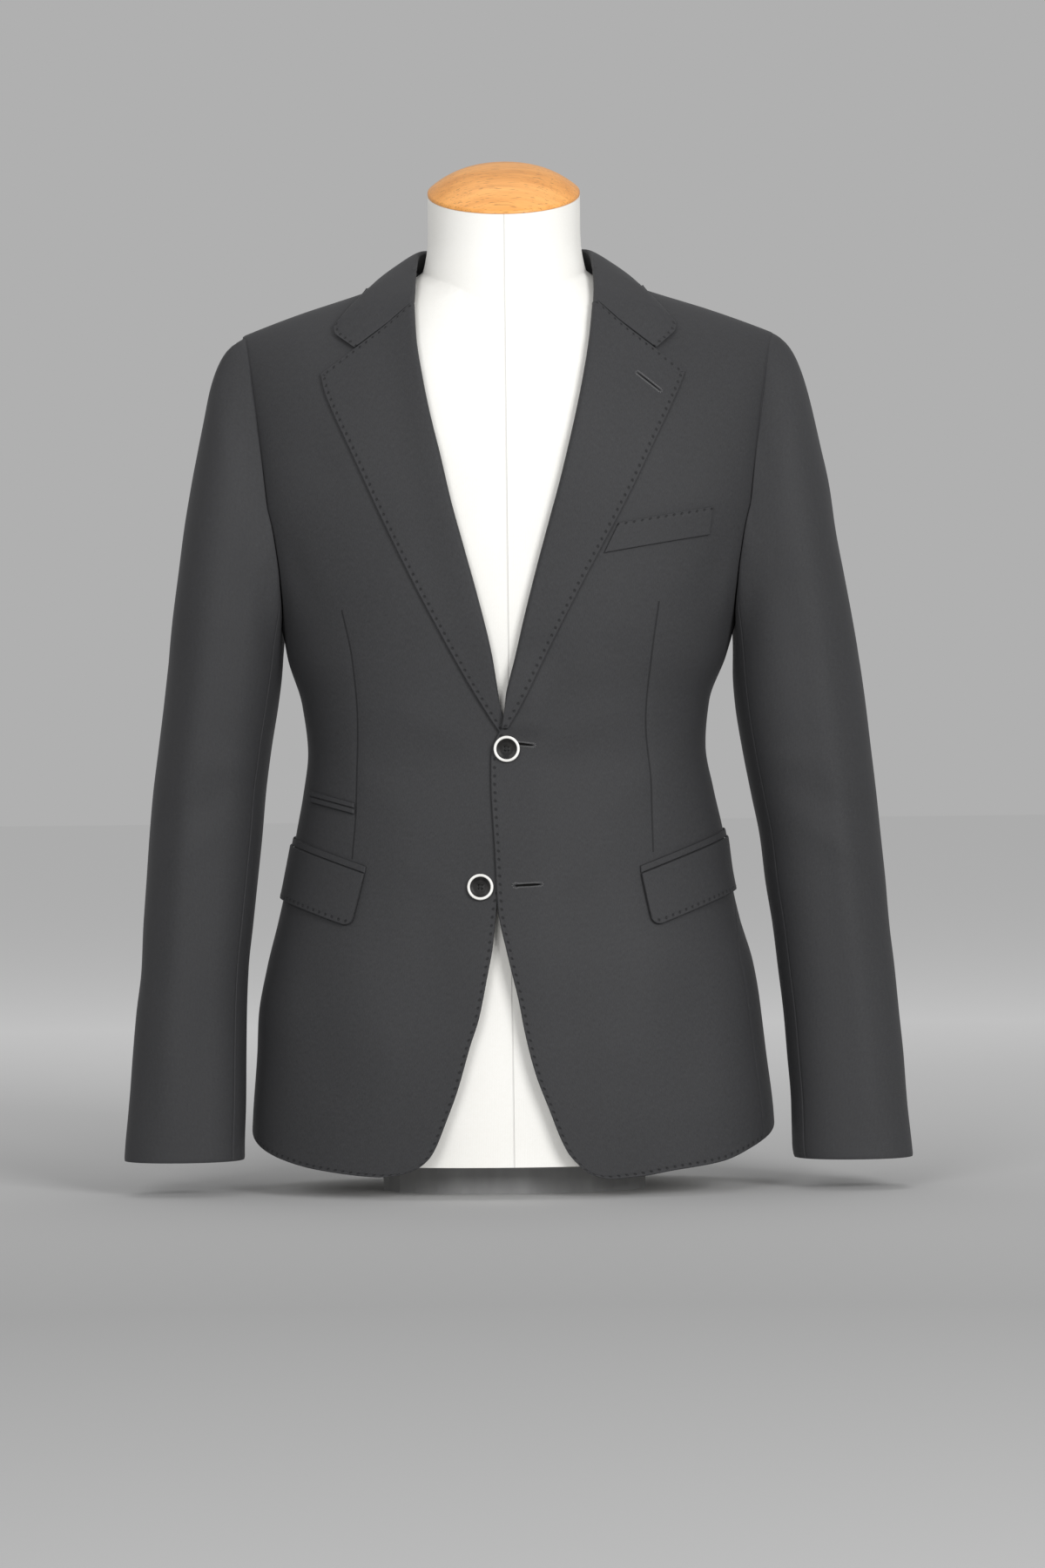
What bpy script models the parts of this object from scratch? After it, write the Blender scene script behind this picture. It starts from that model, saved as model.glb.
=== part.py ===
"""A two-button suit jacket on a limbless dress form.

The cloth lies on one body surface. A place on it is an angle round the body (0 at the front,
+90 at the wearer's left side, 180 at the back) and a level. Up to the chest line the level is
the height. Above it the level runs on to the ridge of the shoulders, where front and back meet.
Sizes here are millimetres and degrees, and the finished meshes are metres. +Z is up and the
front looks along -Y, so +X is the wearer's left.
"""
import math

import bmesh
import bpy
from mathutils import Vector

MM = 0.001

# Cloth and gaps
WALL = 2.0
JET_WALL = 1.4
SEAM = 0.3
LAY = 0.7
OVER = WALL + LAY
EDGE_RECESS = 2.0
RECESS_FROM = (366.0, 380.0)
LAPEL_PUFF = 2.6
PUFF_WIDTH = 15.0

# The body surface: level, middle, half width, depth in front and behind, squareness
CHEST_LEVEL = 560.0
RIDGE_LEVEL = 660.0
RIDGE_ZONE = 0.5
ANGLE_STEP = 0.25
BODY = (
    (0, -0.5, 217.5, 129, 128, 2.35),
    (60, -0.6, 215.0, 129, 127, 2.35),
    (112, -1.5, 210.0, 128, 126, 2.35),
    (148, -2.5, 207.0, 126, 124, 2.35),
    (184, -1.9, 200.5, 124, 122, 2.35),
    (220, -2.5, 190.5, 121, 117, 2.35),
    (256, -2.2, 182.5, 118, 110, 2.35),
    (292, -1.0, 176.5, 116, 104, 2.35),
    (328, -1.5, 169.2, 113, 98, 2.35),
    (362, -2.5, 164.2, 111, 96, 2.35),
    (400, -3.0, 168.1, 113, 99, 2.35),
    (436, -1.5, 180.5, 116, 106, 2.35),
    (462, 0.0, 187.0, 118, 110, 2.38),
    (500, 1.0, 200.0, 119, 116, 2.42),
    (545, 1.5, 211.0, 119, 121, 2.50),
    (600, 2.0, 222.0, 116, 121, 2.58),
    (640, 2.3, 231.0, 112, 118, 2.60),
    (660, 2.5, 236.0, 110, 116, 2.60),
)
# Height of the shoulder ridge by the distance from the middle
RIDGE = ((0, 796), (40, 782), (60, 768), (80, 753), (116, 740), (172, 722), (222.5, 703), (240, 695))

# Hem: angle and height. Seams: height and angle
HEM_LEFT = ((20, 15.0), (28, 17.4), (34, 20.7), (48, 26.4), (60, 36.0), (67, 41.0), (90, 54.0))
HEM_RIGHT = ((20, 18.0), (28, 18.4), (44, 23.5), (56, 30.2), (68, 38.0), (90, 53.0))
HEM_BACK = ((90, 54.0), (116, 55.0), (180, 50.0))
SIDE_SEAM_LEFT = ((42, 66.8), (150, 66.0), (185, 66.0), (220, 74.0), (245, 84.0), (265, 87.0),
                  (400, 86.0), (464.5, 80.0))
SIDE_SEAM_RIGHT = ((42, 88.0), (265, 88.0), (400, 86.0), (464.5, 80.0))
BACK_SEAM = ((54, 114.0), (250, 112.5), (362, 111.0), (473, 108.5))
VENT_TOP = 262.0
VENT_FULL = 236.0
VENT_LIFT_TOP = 292.0
VENT_LAP = 6.0
VENT_LIFT = 3.2
VENT_NEAR = (92.0, 103.0)
SIDE_COLUMNS = (0, 0.35, 0.6, 0.8, 1)

# Armhole: angle in front and behind, level of the body, angle round the sleeve
ARMHOLE = (
    (90.0, 90.0, 462.0, 180.0),
    (80.0, 99.0, 464.5, 169.0),
    (71.5, 108.5, 473.0, 157.0),
    (65.5, 115.0, 490.0, 144.0),
    (61.8, 118.0, 515.0, 130.0),
    (60.2, 119.5, 545.0, 116.0),
    (61.0, 119.2, 572.0, 102.0),
    (62.2, 118.4, 592.0, 87.0),
    (62.8, 118.0, 610.0, 71.0),
    (62.6, 118.0, 626.0, 55.0),
    (62.2, 118.2, 640.0, 38.0),
    (61.8, 118.4, 650.0, 20.0),
    (61.4, 118.6, 660.0, 0.0),
)

# Rows of the panels: heights at the side seam, and heights at the front edge
SEAM_ROWS = (66, 92, 120, 150, 182, 212, 236, 262, 292, 325, 362, 400, 434)
EDGE_ROWS = (34, 56, 84, 116, 150, 184, 212, 236, 262, 292, 325, 358, 384,
             420, 458, 496, 536, 576, 616, 654, 690, 716, 735, 748, 753)
FRONT_COLUMNS = (0, 0.12, 0.24, 0.35, 0.45, 0.54, 0.62, 0.69, 0.76, 0.82, 0.88, 0.94, 1)

# Front edges from the hem's round to the neck: height and distance from the middle
EDGE_LEFT = (
    (20.5, 60.0), (26.6, 52.6), (38.6, 42.5), (74.3, 27.8), (101, 17.9), (133, 9.9), (159, 5.1),
    (195, -3.3), (234, -10.9), (282, -13.0), (336, -15.4), (354, -15.2), (373, -10.2), (382, -5.4),
    (400, -1.1), (438, 9.2), (476, 18.7), (514, 28.6), (544, 38.3), (578, 47.7), (614, 55.1),
    (640, 62.5), (671, 67.5), (693, 71.4), (719, 73.3), (735, 76.0), (753, 80.0),
)
EDGE_RIGHT = (
    (23, -83.0), (28, -74.0), (37, -65.6), (65, -53.4), (88, -44.7), (124, -34.0), (145, -27.0),
    (183, -19.0), (200, -15.6), (238, -10.9), (252, -6.0), (275, 2.0), (310, 10.0), (345, 14.0),
    (362, 12.5), (374, 5.0), (386, -3.5), (400, -8.7), (438, -16.7), (480, -26.7), (529, -39.7),
    (560, -47.9), (597, -56.2), (633, -64.6), (663, -70.2), (693, -74.5), (716, -76.0),
    (735, -77.0), (753, -80.0),
)
OVERLAP_LOW = (120.0, 205.0)
OVERLAP_HIGH = (394.0, 450.0)
OVERLAP_SIDE = (20.0, 48.0)

# Lapels: height and distance from the middle, from the break up to the gorge
ROLL_LEFT = ((378, -5.0), (400, -1.1), (438, 9.2), (476, 18.7), (514, 28.6), (544, 38.3),
             (578, 47.7), (614, 55.1), (640, 62.5), (671, 67.5), (693, 71.4), (722, 74.0))
OUTER_LEFT = ((378, -1.2), (396, 9.4), (434, 28.7), (476, 50.0), (526, 78.3), (548, 90.9),
              (578, 105.2), (608, 117.8), (637, 134.3), (658, 144.3), (665, 145.6))
ROLL_RIGHT = ((386, -11.0), (400, -9.4), (438, -16.7), (480, -26.7), (529, -39.7), (560, -47.9),
              (597, -56.2), (633, -64.6), (663, -70.2), (693, -74.5), (721, -76.0))
OUTER_RIGHT = ((386, -15.4), (417, -34.4), (456, -54.9), (491, -73.4), (530, -91.2), (554, -103.9),
               (583, -116.6), (609, -128.0), (632, -138.8), (654, -146.9), (666, -149.5))
LAPEL_ROWS = 15
LAPEL_COLUMNS = 5
WRAP_ANGLES = (-60.0, -10.0, 40.0)
WRAP_OPEN = (50.0, 64.0, 78.0)
WRAP_FROM = (388.0, 430.0)

# Collar: the fold's route from the gorge to the middle of the back, then the outer edge
FOLD = ((75.5, -52.0, 740.0), (74.5, -28.0, 758.0), (73.0, -2.0, 770.5), (66.5, 28.0, 777.5),
        (48.0, 55.0, 780.0), (25.0, 71.0, 781.0), (0.0, 76.0, 781.0))
NOTCH_CORNER = (122.0, 685.5)
COLLAR_TIP = (139.0, 702.5)
COLLAR_EDGE = (("front", 129.5, 717.0), ("front", 117.0, 731.5), ("ridge", 105.0, 0.0),
               ("back", 95.0, 737.5), ("back", 75.0, 731.5), ("back", 50.0, 728.0),
               ("back", 25.0, 726.5), ("back", 0.0, 726.0))
COLLAR_STEPS = 11
GORGE_GAP = 1.1
COLLAR_COLUMNS = 4
COLLAR_STAND_OFF = 0.9
FOLD_RADIUS = 2.4
FOLD_REACH = 7.0
EDGE_REACH = 0.25
STAND_START = 0.2
STAND_FOOT = ((76.5, -33.0, 747.0), (77.0, -4.0, 755.5), (70.5, 28.0, 755.0), (52.5, 53.0, 750.0),
              (27.0, 69.0, 745.5), (0.0, 73.5, 744.5))
BACK_NECK = ((0.0, 741.5), (24.0, 742.4), (44.0, 744.4), (60.0, 747.4), (71.0, 750.6))
BACK_SHOULDER = (80.0, 108.0, 144.0, 183.0)

# Sleeves: height, inner and outer distance from the middle, half depth and middle of the depth
SLEEVE_RIGHT = (
    (28.5, 220.9, 319.5, 41, -36), (40, 220.8, 318.7, 41.5, -35), (76, 219.6, 315.4, 44, -31),
    (112, 219.2, 312.8, 46.5, -27), (148, 218.6, 309.5, 49, -23), (184, 217, 304.8, 51.5, -19.5),
    (220, 213, 303.0, 54, -16), (256, 209, 300.4, 56.5, -13), (292, 205, 297.8, 59, -10.5),
    (328, 201.7, 294.5, 61.5, -8), (364, 196.9, 289.8, 64, -6), (400, 190.8, 285, 66, -5),
    (437, 185.5, 280.4, 67, -4), (473, 183, 276.3, 68, -3.5), (509, 181, 271.6, 68, -3),
    (545, 180, 266.9, 67, -2.5), (581, 181, 260.7, 64, -2), (612, 184, 254.5, 59, -1.5),
    (640, 189, 248.8, 51, -1), (663, 194, 244.6, 43, -0.5), (680, 200, 240.8, 35, 0),
    (690, 206, 237.0, 28, 0), (697, 212, 231.5, 20, 0), (703, 218, 222.5, 9, 0),
)
SLEEVE_LEFT = (
    (25.5, 229.0, 326.5, 41, -36), (35, 227.8, 325.7, 41.5, -35), (71, 227.4, 322.5, 44, -31),
    (107, 225, 320.7, 46.5, -27), (143, 222.5, 317.5, 49, -23), (179, 218.6, 314.3, 51.5, -19.5),
    (215, 214.7, 310.4, 54, -16), (251, 209.3, 308.0, 56.5, -13), (287, 205.4, 304.8, 59, -10.5),
    (323, 198.6, 301.6, 61.5, -8), (360, 191.8, 297.7, 64, -6), (396, 186.4, 293.8, 66, -5),
    (431, 183.6, 289.1, 67, -4), (467, 182.5, 283.1, 68, -3.5), (503, 181, 277.0, 68, -3),
    (539, 180, 270.9, 67, -2.5), (575, 181, 266.3, 64, -2), (611, 184, 258.8, 59, -1.5),
    (640, 189, 252.6, 51, -1), (660, 194, 248.0, 43, -0.5), (677, 200, 243.4, 35, 0),
    (688, 206, 239.0, 28, 0), (697, 213, 232.5, 20, 0), (703, 219, 224.5, 9, 0),
)
SLEEVE_POWER = 2.2
SLEEVE_ROWS = (0, 0.03, 0.08, 0.15, 0.24, 0.34, 0.45, 0.57, 0.7, 0.85, 1)
HEAD_FADE = 30.0
ARMPIT_STAND_OFF = 0.5
SLEEVE_SEAM_FRONT = 3
SLEEVE_SEAM_BACK = 4

# Pockets on the fronts: distances from the middle, heights, slopes
FLAP_HEIGHT = 44.0
FLAP_CORNER = 10.0
FLAP_END_ANGLE = 97.0
FLAP_ROWS = 4
FLAP_STAND_OFF = 0.8
JET_HEIGHT = 6.0
FLAP_LEFT = {"start": 104.3, "top": 260.1, "slope": 0.367, "slant": 3.0}
FLAP_RIGHT = {"start": 117.3, "top": 262.1, "slope": 0.338, "slant": 4.0}
TICKET = {"start": 125.6, "end": 163.0, "top": 319.4, "slope": 0.27, "height": 4.8}
WELT = {"start": 89.5, "foot_start": 77.5, "end": 166.0, "top": 542.0, "slope": 0.176, "height": 22.0}

# Buttons
BUTTON_RADIUS = 10.5
RING_WIDTH = 2.2
BUTTON_HEIGHT = 3.4
BUTTON_STAND_OFF = 0.45
BUTTON_STEPS = 18
BUTTON_UPPER = (-2.3, 361.3)
BUTTON_LOWER = (-24.6, 250.6)

# Dress form
FORM_BOTTOM = 25.0
FORM_ROWS = (25, 66, 107, 150, 185, 225, 262, 296, 330, 362, 395, 430, 462, 484, 508, 534, 560,
             578, 595, 610, 626, 640, 650, 660)
FORM_CLEARANCE = ((0, 13.0), (180, 11.0), (362, 5.0), (500, 3.6), (600, 4.0), (640, 3.8),
                  (652, 3.1), (660, 2.0))
FORM_TUCK = 38.0
FORM_TUCK_TOP = 66.0
FORM_LIMIT = 58.0
FORM_PLATE = (66.0, 77.0, 90.0, 103.0, 114.0)
FORM_FRONT_STEPS = 12
PLATE_FROM = 466.0
PLATE_TO = 508.0
PLATE_BULGE = 5.0
NECK_RADIUS = 63.0
NECK_STEPS = 32
NECK_RINGS = ((700.0, 80.0), (742.0, 71.0), (752.0, 68.8), (764.0, 65.6), (778.0, 63.5), (790.0, 63.0))
NECK_TOP = 820.0
NECK_TILT = 0.371
CAP_EDGE = 3.0
CAP_DOME = 20.0
CAP_RINGS = 5
FOOT_SCALE = 0.5
FOOT_STEPS = 32

CLOTH_COLOUR = (0.050, 0.050, 0.052, 1.0)
FORM_COLOUR = (0.86, 0.84, 0.80, 1.0)
WOOD_COLOUR = (0.62, 0.30, 0.09, 1.0)
RING_COLOUR = (0.80, 0.80, 0.78, 1.0)
DISC_COLOUR = (0.02, 0.02, 0.02, 1.0)
FOOT_COLOUR = (0.32, 0.32, 0.32, 1.0)


def read(table, place):
    """The columns of a table at a place in its first column, smooth and without overshoot."""
    if place <= table[0][0]:
        return table[0][1:]
    if place >= table[-1][0]:
        return table[-1][1:]
    low = max(row for row in range(len(table) - 1) if table[row][0] <= place)
    step = table[low + 1][0] - table[low][0]
    part = (place - table[low][0]) / step
    values = []
    for column in range(1, len(table[0])):
        slopes = [table_slope(table, row, column) for row in (low, low + 1)]
        start, end = table[low][column], table[low + 1][column]
        values.append(
            start * (1 + 2 * part) * (1 - part) ** 2
            + end * part ** 2 * (3 - 2 * part)
            + step * (slopes[0] * part * (1 - part) ** 2 - slopes[1] * part ** 2 * (1 - part)))
    return values


def table_slope(table, row, column):
    """Slope of a column at a row: the harmonic mean of the slopes on both sides."""
    sides = []
    for first in (row - 1, row):
        if 0 <= first < len(table) - 1:
            run = table[first + 1][0] - table[first][0]
            sides.append((table[first + 1][column] - table[first][column]) / run)
    if len(sides) == 1:
        return sides[0]
    if sides[0] * sides[1] <= 0:
        return 0.0
    return 2 * sides[0] * sides[1] / (sides[0] + sides[1])


def ease(value, start, end):
    """0 at start and 1 at end, with soft ends."""
    part = min(1.0, max(0.0, (value - start) / (end - start)))
    return part * part * (3 - 2 * part)


def ridge_height(x):
    return read(RIDGE, abs(x))[0]


def body(angle, level):
    """Point of the cloth's outer surface at an angle round the body and a level."""
    middle, half_width, front, back, power = read(BODY, level)
    side = math.sin(math.radians(angle))
    ahead = math.cos(math.radians(angle))
    reach = (abs(side) ** power + abs(ahead) ** power) ** (-1 / power)
    depth = front if ahead > 0 else back
    x = middle + half_width * side * reach
    y = -depth * ahead * reach
    if level <= CHEST_LEVEL:
        return Vector((x, y, level))
    turn = math.pi / 2 * (level - CHEST_LEVEL) / (RIDGE_LEVEL - CHEST_LEVEL)
    z = CHEST_LEVEL + (ridge_height(x) - CHEST_LEVEL) * math.sin(turn)
    return Vector((x, y * math.cos(turn), z))


def body_normal(angle, level):
    """Outward direction of the body surface."""
    aside = body(angle + ANGLE_STEP, level) - body(angle - ANGLE_STEP, level)
    if level > RIDGE_LEVEL - RIDGE_ZONE:
        up = Vector((0, math.copysign(1, math.cos(math.radians(angle))), 0))
    else:
        up = body(angle, level + RIDGE_ZONE) - body(angle, level - RIDGE_ZONE)
    return aside.cross(up).normalized()


def level_at(x, z):
    """Level of the body surface at a distance from the middle and a height."""
    if z <= CHEST_LEVEL:
        return z
    rise = min(1.0, (z - CHEST_LEVEL) / (ridge_height(x) - CHEST_LEVEL))
    return CHEST_LEVEL + (RIDGE_LEVEL - CHEST_LEVEL) * math.asin(rise) / (math.pi / 2)


def across(x, level):
    """Angle from the front of the body surface at x on a level, without its sign."""
    middle, half_width, _, _, power = read(BODY, level)
    reach = min(0.9999, abs(x - middle) / half_width)
    return math.degrees(math.atan2(reach, (1 - reach ** power) ** (1 / power)))


def place(x, z, back=False):
    """Angle and level of the body surface seen from the front, or the back, at x and z."""
    level = level_at(x, z)
    angle = across(x, level)
    angle = 180 - angle if back else angle
    return (math.copysign(angle, x - read(BODY, level)[0]), level)


def front_lift(x, z):
    """How far the wearer's left front stands off to pass over the right one."""
    low = ease(z, *OVERLAP_LOW)
    high = 1 - ease(z, *OVERLAP_HIGH)
    side = 1 - ease(x, *OVERLAP_SIDE)
    return OVER * low * high * side


def spread(start, end, steps):
    """Evenly spaced values, both ends included."""
    return [start + (end - start) * index / steps for index in range(steps + 1)]


def route(points, shares):
    """Points on a smooth curve through the given points, at shares 0 to 1 of its length."""
    lengths = [0.0]
    for first, second in zip(points, points[1:]):
        lengths.append(lengths[-1] + (Vector(second) - Vector(first)).length)
    table = [(length, *point) for length, point in zip(lengths, points)]
    return [Vector(read(table, share * lengths[-1])) for share in shares]


def patch(left, right, bottom, top, shares):
    """Places of a four-sided panel, blended from its four edges."""
    rows = len(left) - 1
    grid = []
    for row in range(rows + 1):
        rise = row / rows
        line = []
        for column, share in enumerate(shares):
            spot = []
            for axis in (0, 1):
                level = (1 - share) * left[row][axis] + share * right[row][axis]
                low = (1 - share) * left[0][axis] + share * right[0][axis]
                high = (1 - share) * left[rows][axis] + share * right[rows][axis]
                spot.append(level + (1 - rise) * (bottom[column][axis] - low)
                            + rise * (top[column][axis] - high))
            line.append(tuple(spot))
        grid.append(line)
    return grid


def cloth(places, lift=None, wall=WALL):
    """Outer and inner points of a wall on the body surface, moved out by lift."""
    outer, inner = [], []
    for line in places:
        outer_line, inner_line = [], []
        for angle, level in line:
            point = body(angle, level)
            normal = body_normal(angle, level)
            raised = lift(angle, point) if lift else 0.0
            outer_line.append(point + normal * raised)
            inner_line.append(point + normal * (raised - wall))
        outer.append(outer_line)
        inner.append(inner_line)
    return outer, inner


def finish(name, mesh, colour, roughness):
    """Make the named object, with its own material, from a mesh in millimetres."""
    bmesh.ops.remove_doubles(mesh, verts=mesh.verts, dist=0.0005)
    bmesh.ops.recalc_face_normals(mesh, faces=mesh.faces)
    bmesh.ops.scale(mesh, vec=(MM, MM, MM), verts=mesh.verts)
    data = bpy.data.meshes.new(name)
    mesh.to_mesh(data)
    mesh.free()
    material = bpy.data.materials.new(name)
    material.use_nodes = True
    shader = material.node_tree.nodes["Principled BSDF"]
    shader.inputs["Base Color"].default_value = colour
    shader.inputs["Roughness"].default_value = roughness
    data.materials.append(material)
    data.shade_smooth()
    data.set_sharp_from_angle(angle=math.radians(40))
    thing = bpy.data.objects.new(name, data)
    bpy.context.scene.collection.objects.link(thing)
    return thing


def add_grid(mesh, points):
    """Vertices of a grid and its faces as triangles that all lean the same way."""
    grid = [[mesh.verts.new(point) for point in line] for line in points]
    for low, high in zip(grid, grid[1:]):
        for column in range(len(low) - 1):
            mesh.faces.new((low[column], low[column + 1], high[column + 1]))
            mesh.faces.new((low[column], high[column + 1], high[column]))
    return grid


def add_strip(mesh, first, second):
    """Faces between two rows of vertices."""
    for index in range(len(first) - 1):
        mesh.faces.new((first[index], first[index + 1], second[index + 1]))
        mesh.faces.new((first[index], second[index + 1], second[index]))


def sheet(name, outer, inner, colour=CLOTH_COLOUR, roughness=0.9):
    """A closed wall between an outer and an inner grid of points."""
    mesh = bmesh.new()
    face = add_grid(mesh, outer)
    back = add_grid(mesh, inner)
    add_strip(mesh, face[0], back[0])
    add_strip(mesh, face[-1], back[-1])
    add_strip(mesh, [line[0] for line in face], [line[0] for line in back])
    add_strip(mesh, [line[-1] for line in face], [line[-1] for line in back])
    return finish(name, mesh, colour, roughness)


def turned(name, rings, colour, roughness, open_top=False):
    """A closed solid through rings of equal length, filled at the ends unless the top closes."""
    mesh = bmesh.new()
    loops = [[mesh.verts.new(point) for point in ring] for ring in rings]
    for low, high in zip(loops, loops[1:]):
        add_strip(mesh, low + [low[0]], high + [high[0]])
    mesh.faces.new(loops[0])
    if not open_top:
        mesh.faces.new(loops[-1])
    return finish(name, mesh, colour, roughness)


def side_name(side):
    return "left" if side > 0 else "right"


def seam_angle(side, height):
    table = SIDE_SEAM_LEFT if side > 0 else SIDE_SEAM_RIGHT
    return read(table, height)[0]


def gap_angle(angle, level, gap):
    """The angle that a gap in millimetres takes up at a place on the body."""
    step = (body(angle + ANGLE_STEP, level) - body(angle - ANGLE_STEP, level)).length
    return gap / step * 2 * ANGLE_STEP


def hem_height(side, angle):
    if angle > 90:
        return read(HEM_BACK, angle)[0]
    return read(HEM_LEFT if side > 0 else HEM_RIGHT, angle)[0]


def make_front(side):
    """One forepart, from its rounded quarter up to the shoulder seam."""
    edge_table = EDGE_LEFT if side > 0 else EDGE_RIGHT
    left = []
    for height in (edge_table[0][0],) + EDGE_ROWS:
        x = read(edge_table, height)[0] + side * EDGE_RECESS * ease(height, *RECESS_FROM)
        spot = place(x, min(height, ridge_height(x)))
        left.append(spot)
    hem_end = seam_angle(side, 0)
    right = [(side * hem_end, hem_height(side, hem_end))]
    right += [(side * seam_angle(side, height), height) for height in SEAM_ROWS]
    right += [(side * row[0], row[2]) for row in ARMHOLE[1:]]
    right = [(angle - side * gap_angle(angle, level, SEAM / 2), level) for angle, level in right]
    shares = FRONT_COLUMNS
    bottom = []
    for share in shares:
        angle = left[0][0] * (1 - share) + right[0][0] * share
        bottom.append((angle, left[0][1] if share == 0 else hem_height(side, abs(angle))))
    top = [(left[-1][0] * (1 - share) + right[-1][0] * share, RIDGE_LEVEL) for share in shares]
    places = patch(left, right, bottom, top, shares)

    def lift(angle, point):
        return front_lift(point.x, point.z) if side > 0 else 0.0

    outer, inner = cloth(places, lift)
    for line in (outer[-1], inner[-1]):
        for point in line:
            point.y -= SEAM / 2
    sheet("front_" + side_name(side), outer, inner)


def make_side(side):
    """The side body under the arm, with the vent's lap at the lower back edge."""
    rows = (None,) + SEAM_ROWS + (None,)
    left, right = [], []
    for height in rows:
        if height is None and not left:
            start, end = seam_angle(side, 0), BACK_SEAM[0][1] + VENT_LAP
            left.append((side * start, hem_height(side, start)))
            right.append((side * end, hem_height(side, end)))
        elif height is None:
            left.append((side * ARMHOLE[1][0], ARMHOLE[1][2]))
            right.append((side * ARMHOLE[2][1], ARMHOLE[2][2]))
        else:
            lap = VENT_LAP * (1 - ease(height, VENT_FULL, VENT_TOP))
            left.append((side * seam_angle(side, height), height))
            right.append((side * (read(BACK_SEAM, height)[0] + lap), height))
    left = [(angle + side * gap_angle(angle, level, SEAM / 2), level) for angle, level in left]
    right = [(angle - side * gap_angle(angle, level, SEAM / 2), level) for angle, level in right]
    shares = SIDE_COLUMNS
    bottom, top = [], []
    halfway = [(first + second) / 2 for first, second in zip(ARMHOLE[1][1:3], ARMHOLE[2][1:3])]
    crown = ((ARMHOLE[1][0], ARMHOLE[1][2]), (ARMHOLE[0][0], ARMHOLE[0][2]),
             ARMHOLE[1][1:3], halfway, ARMHOLE[2][1:3])
    for index, share in enumerate(shares):
        angle = left[0][0] * (1 - share) + right[0][0] * share
        bottom.append((angle, hem_height(side, abs(angle))))
        top.append((side * crown[index][0], crown[index][1]))
    top[0], top[-1] = left[-1], right[-1]
    places = patch(left, right, bottom, top, shares)

    def lift(angle, point):
        near = ease(abs(angle), *VENT_NEAR)
        return VENT_LIFT * near * (1 - ease(point.z, VENT_TOP, VENT_LIFT_TOP))

    outer, inner = cloth(places, lift)
    sheet("side_" + side_name(side), outer, inner)


def make_back(side):
    """One back, from the middle seam to the back seam and the armhole."""
    neck = level_at(*BACK_NECK[0])
    middle = [(180.0, hem_height(side, 180))]
    outer_edge = [(BACK_SEAM[0][1], hem_height(side, BACK_SEAM[0][1]))]
    for height in SEAM_ROWS + (ARMHOLE[2][2],):
        middle.append((180.0, height))
        outer_edge.append((read(BACK_SEAM, height)[0], height))
    upper = ARMHOLE[3:]
    for index, row in enumerate(upper):
        share = math.sin(math.pi / 2 * (index + 1) / len(upper))
        middle.append((180.0, ARMHOLE[2][2] + (neck - ARMHOLE[2][2]) * share))
        outer_edge.append((row[1], row[2]))
    middle = [(angle - gap_angle(179.0, level, SEAM / 2), level) for angle, level in middle]
    outer_edge = [(angle + gap_angle(angle, level, SEAM / 2), level) for angle, level in outer_edge]
    crown = [middle[-1]]
    crown += [(180 - across(x, level_at(x, z)), level_at(x, z)) for x, z in BACK_NECK[1:]]
    crown += [(180 - across(x, RIDGE_LEVEL), RIDGE_LEVEL) for x in BACK_SHOULDER]
    crown.append(outer_edge[-1])
    shares = [(crown[0][0] - spot[0]) / (crown[0][0] - crown[-1][0]) for spot in crown]
    bottom = []
    for share in shares:
        angle = middle[0][0] * (1 - share) + outer_edge[0][0] * share
        bottom.append((angle, hem_height(side, angle)))
    places = patch(middle, outer_edge, bottom, crown, shares)
    places = [[(side * angle, level) for angle, level in line] for line in places]
    outer, inner = cloth(places)
    for line in (outer[-1], inner[-1]):
        for point in line[len(BACK_NECK):]:
            point.y += SEAM / 2
    sheet("back_" + side_name(side), outer, inner)


def lapel_lift(side, x, z, distance):
    """Height of the lapel's face over the front, fullest along the roll."""
    fade = ease(z, 380, 470) * 0.8 + 0.2
    puff = LAPEL_PUFF * fade * math.exp(-(distance / PUFF_WIDTH) ** 2)
    base = front_lift(x, z) if side > 0 else 0.0
    return base + OVER + puff


def gorge_point(side, share):
    """Place on the lapel's upper edge, from the roll at 0 to the tip at 1."""
    roll = (ROLL_LEFT if side > 0 else ROLL_RIGHT)[-1]
    tip = (OUTER_LEFT if side > 0 else OUTER_RIGHT)[-1]
    return (roll[1] * (1 - share) + tip[1] * share, roll[0] * (1 - share) + tip[0] * share)


def lapel_row(side, rise):
    """x and z of the lapel's inner and outer edge at a share of its height."""
    roll = ROLL_LEFT if side > 0 else ROLL_RIGHT
    outer = OUTER_LEFT if side > 0 else OUTER_RIGHT
    inner_z = roll[0][0] + (roll[-1][0] - roll[0][0]) * rise
    outer_z = outer[0][0] + (outer[-1][0] - outer[0][0]) * rise
    return (read(roll, inner_z)[0], inner_z), (read(outer, outer_z)[0], outer_z)


def surface_frame(side, x, z):
    """Point, outward normal and the direction towards the opening of a front at x and z."""
    angle, level = place(x, z)
    point = body(angle, level)
    normal = body_normal(angle, level)
    inward = (body(angle - side * 0.5, level) - point).normalized()
    return point, normal, inward


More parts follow.
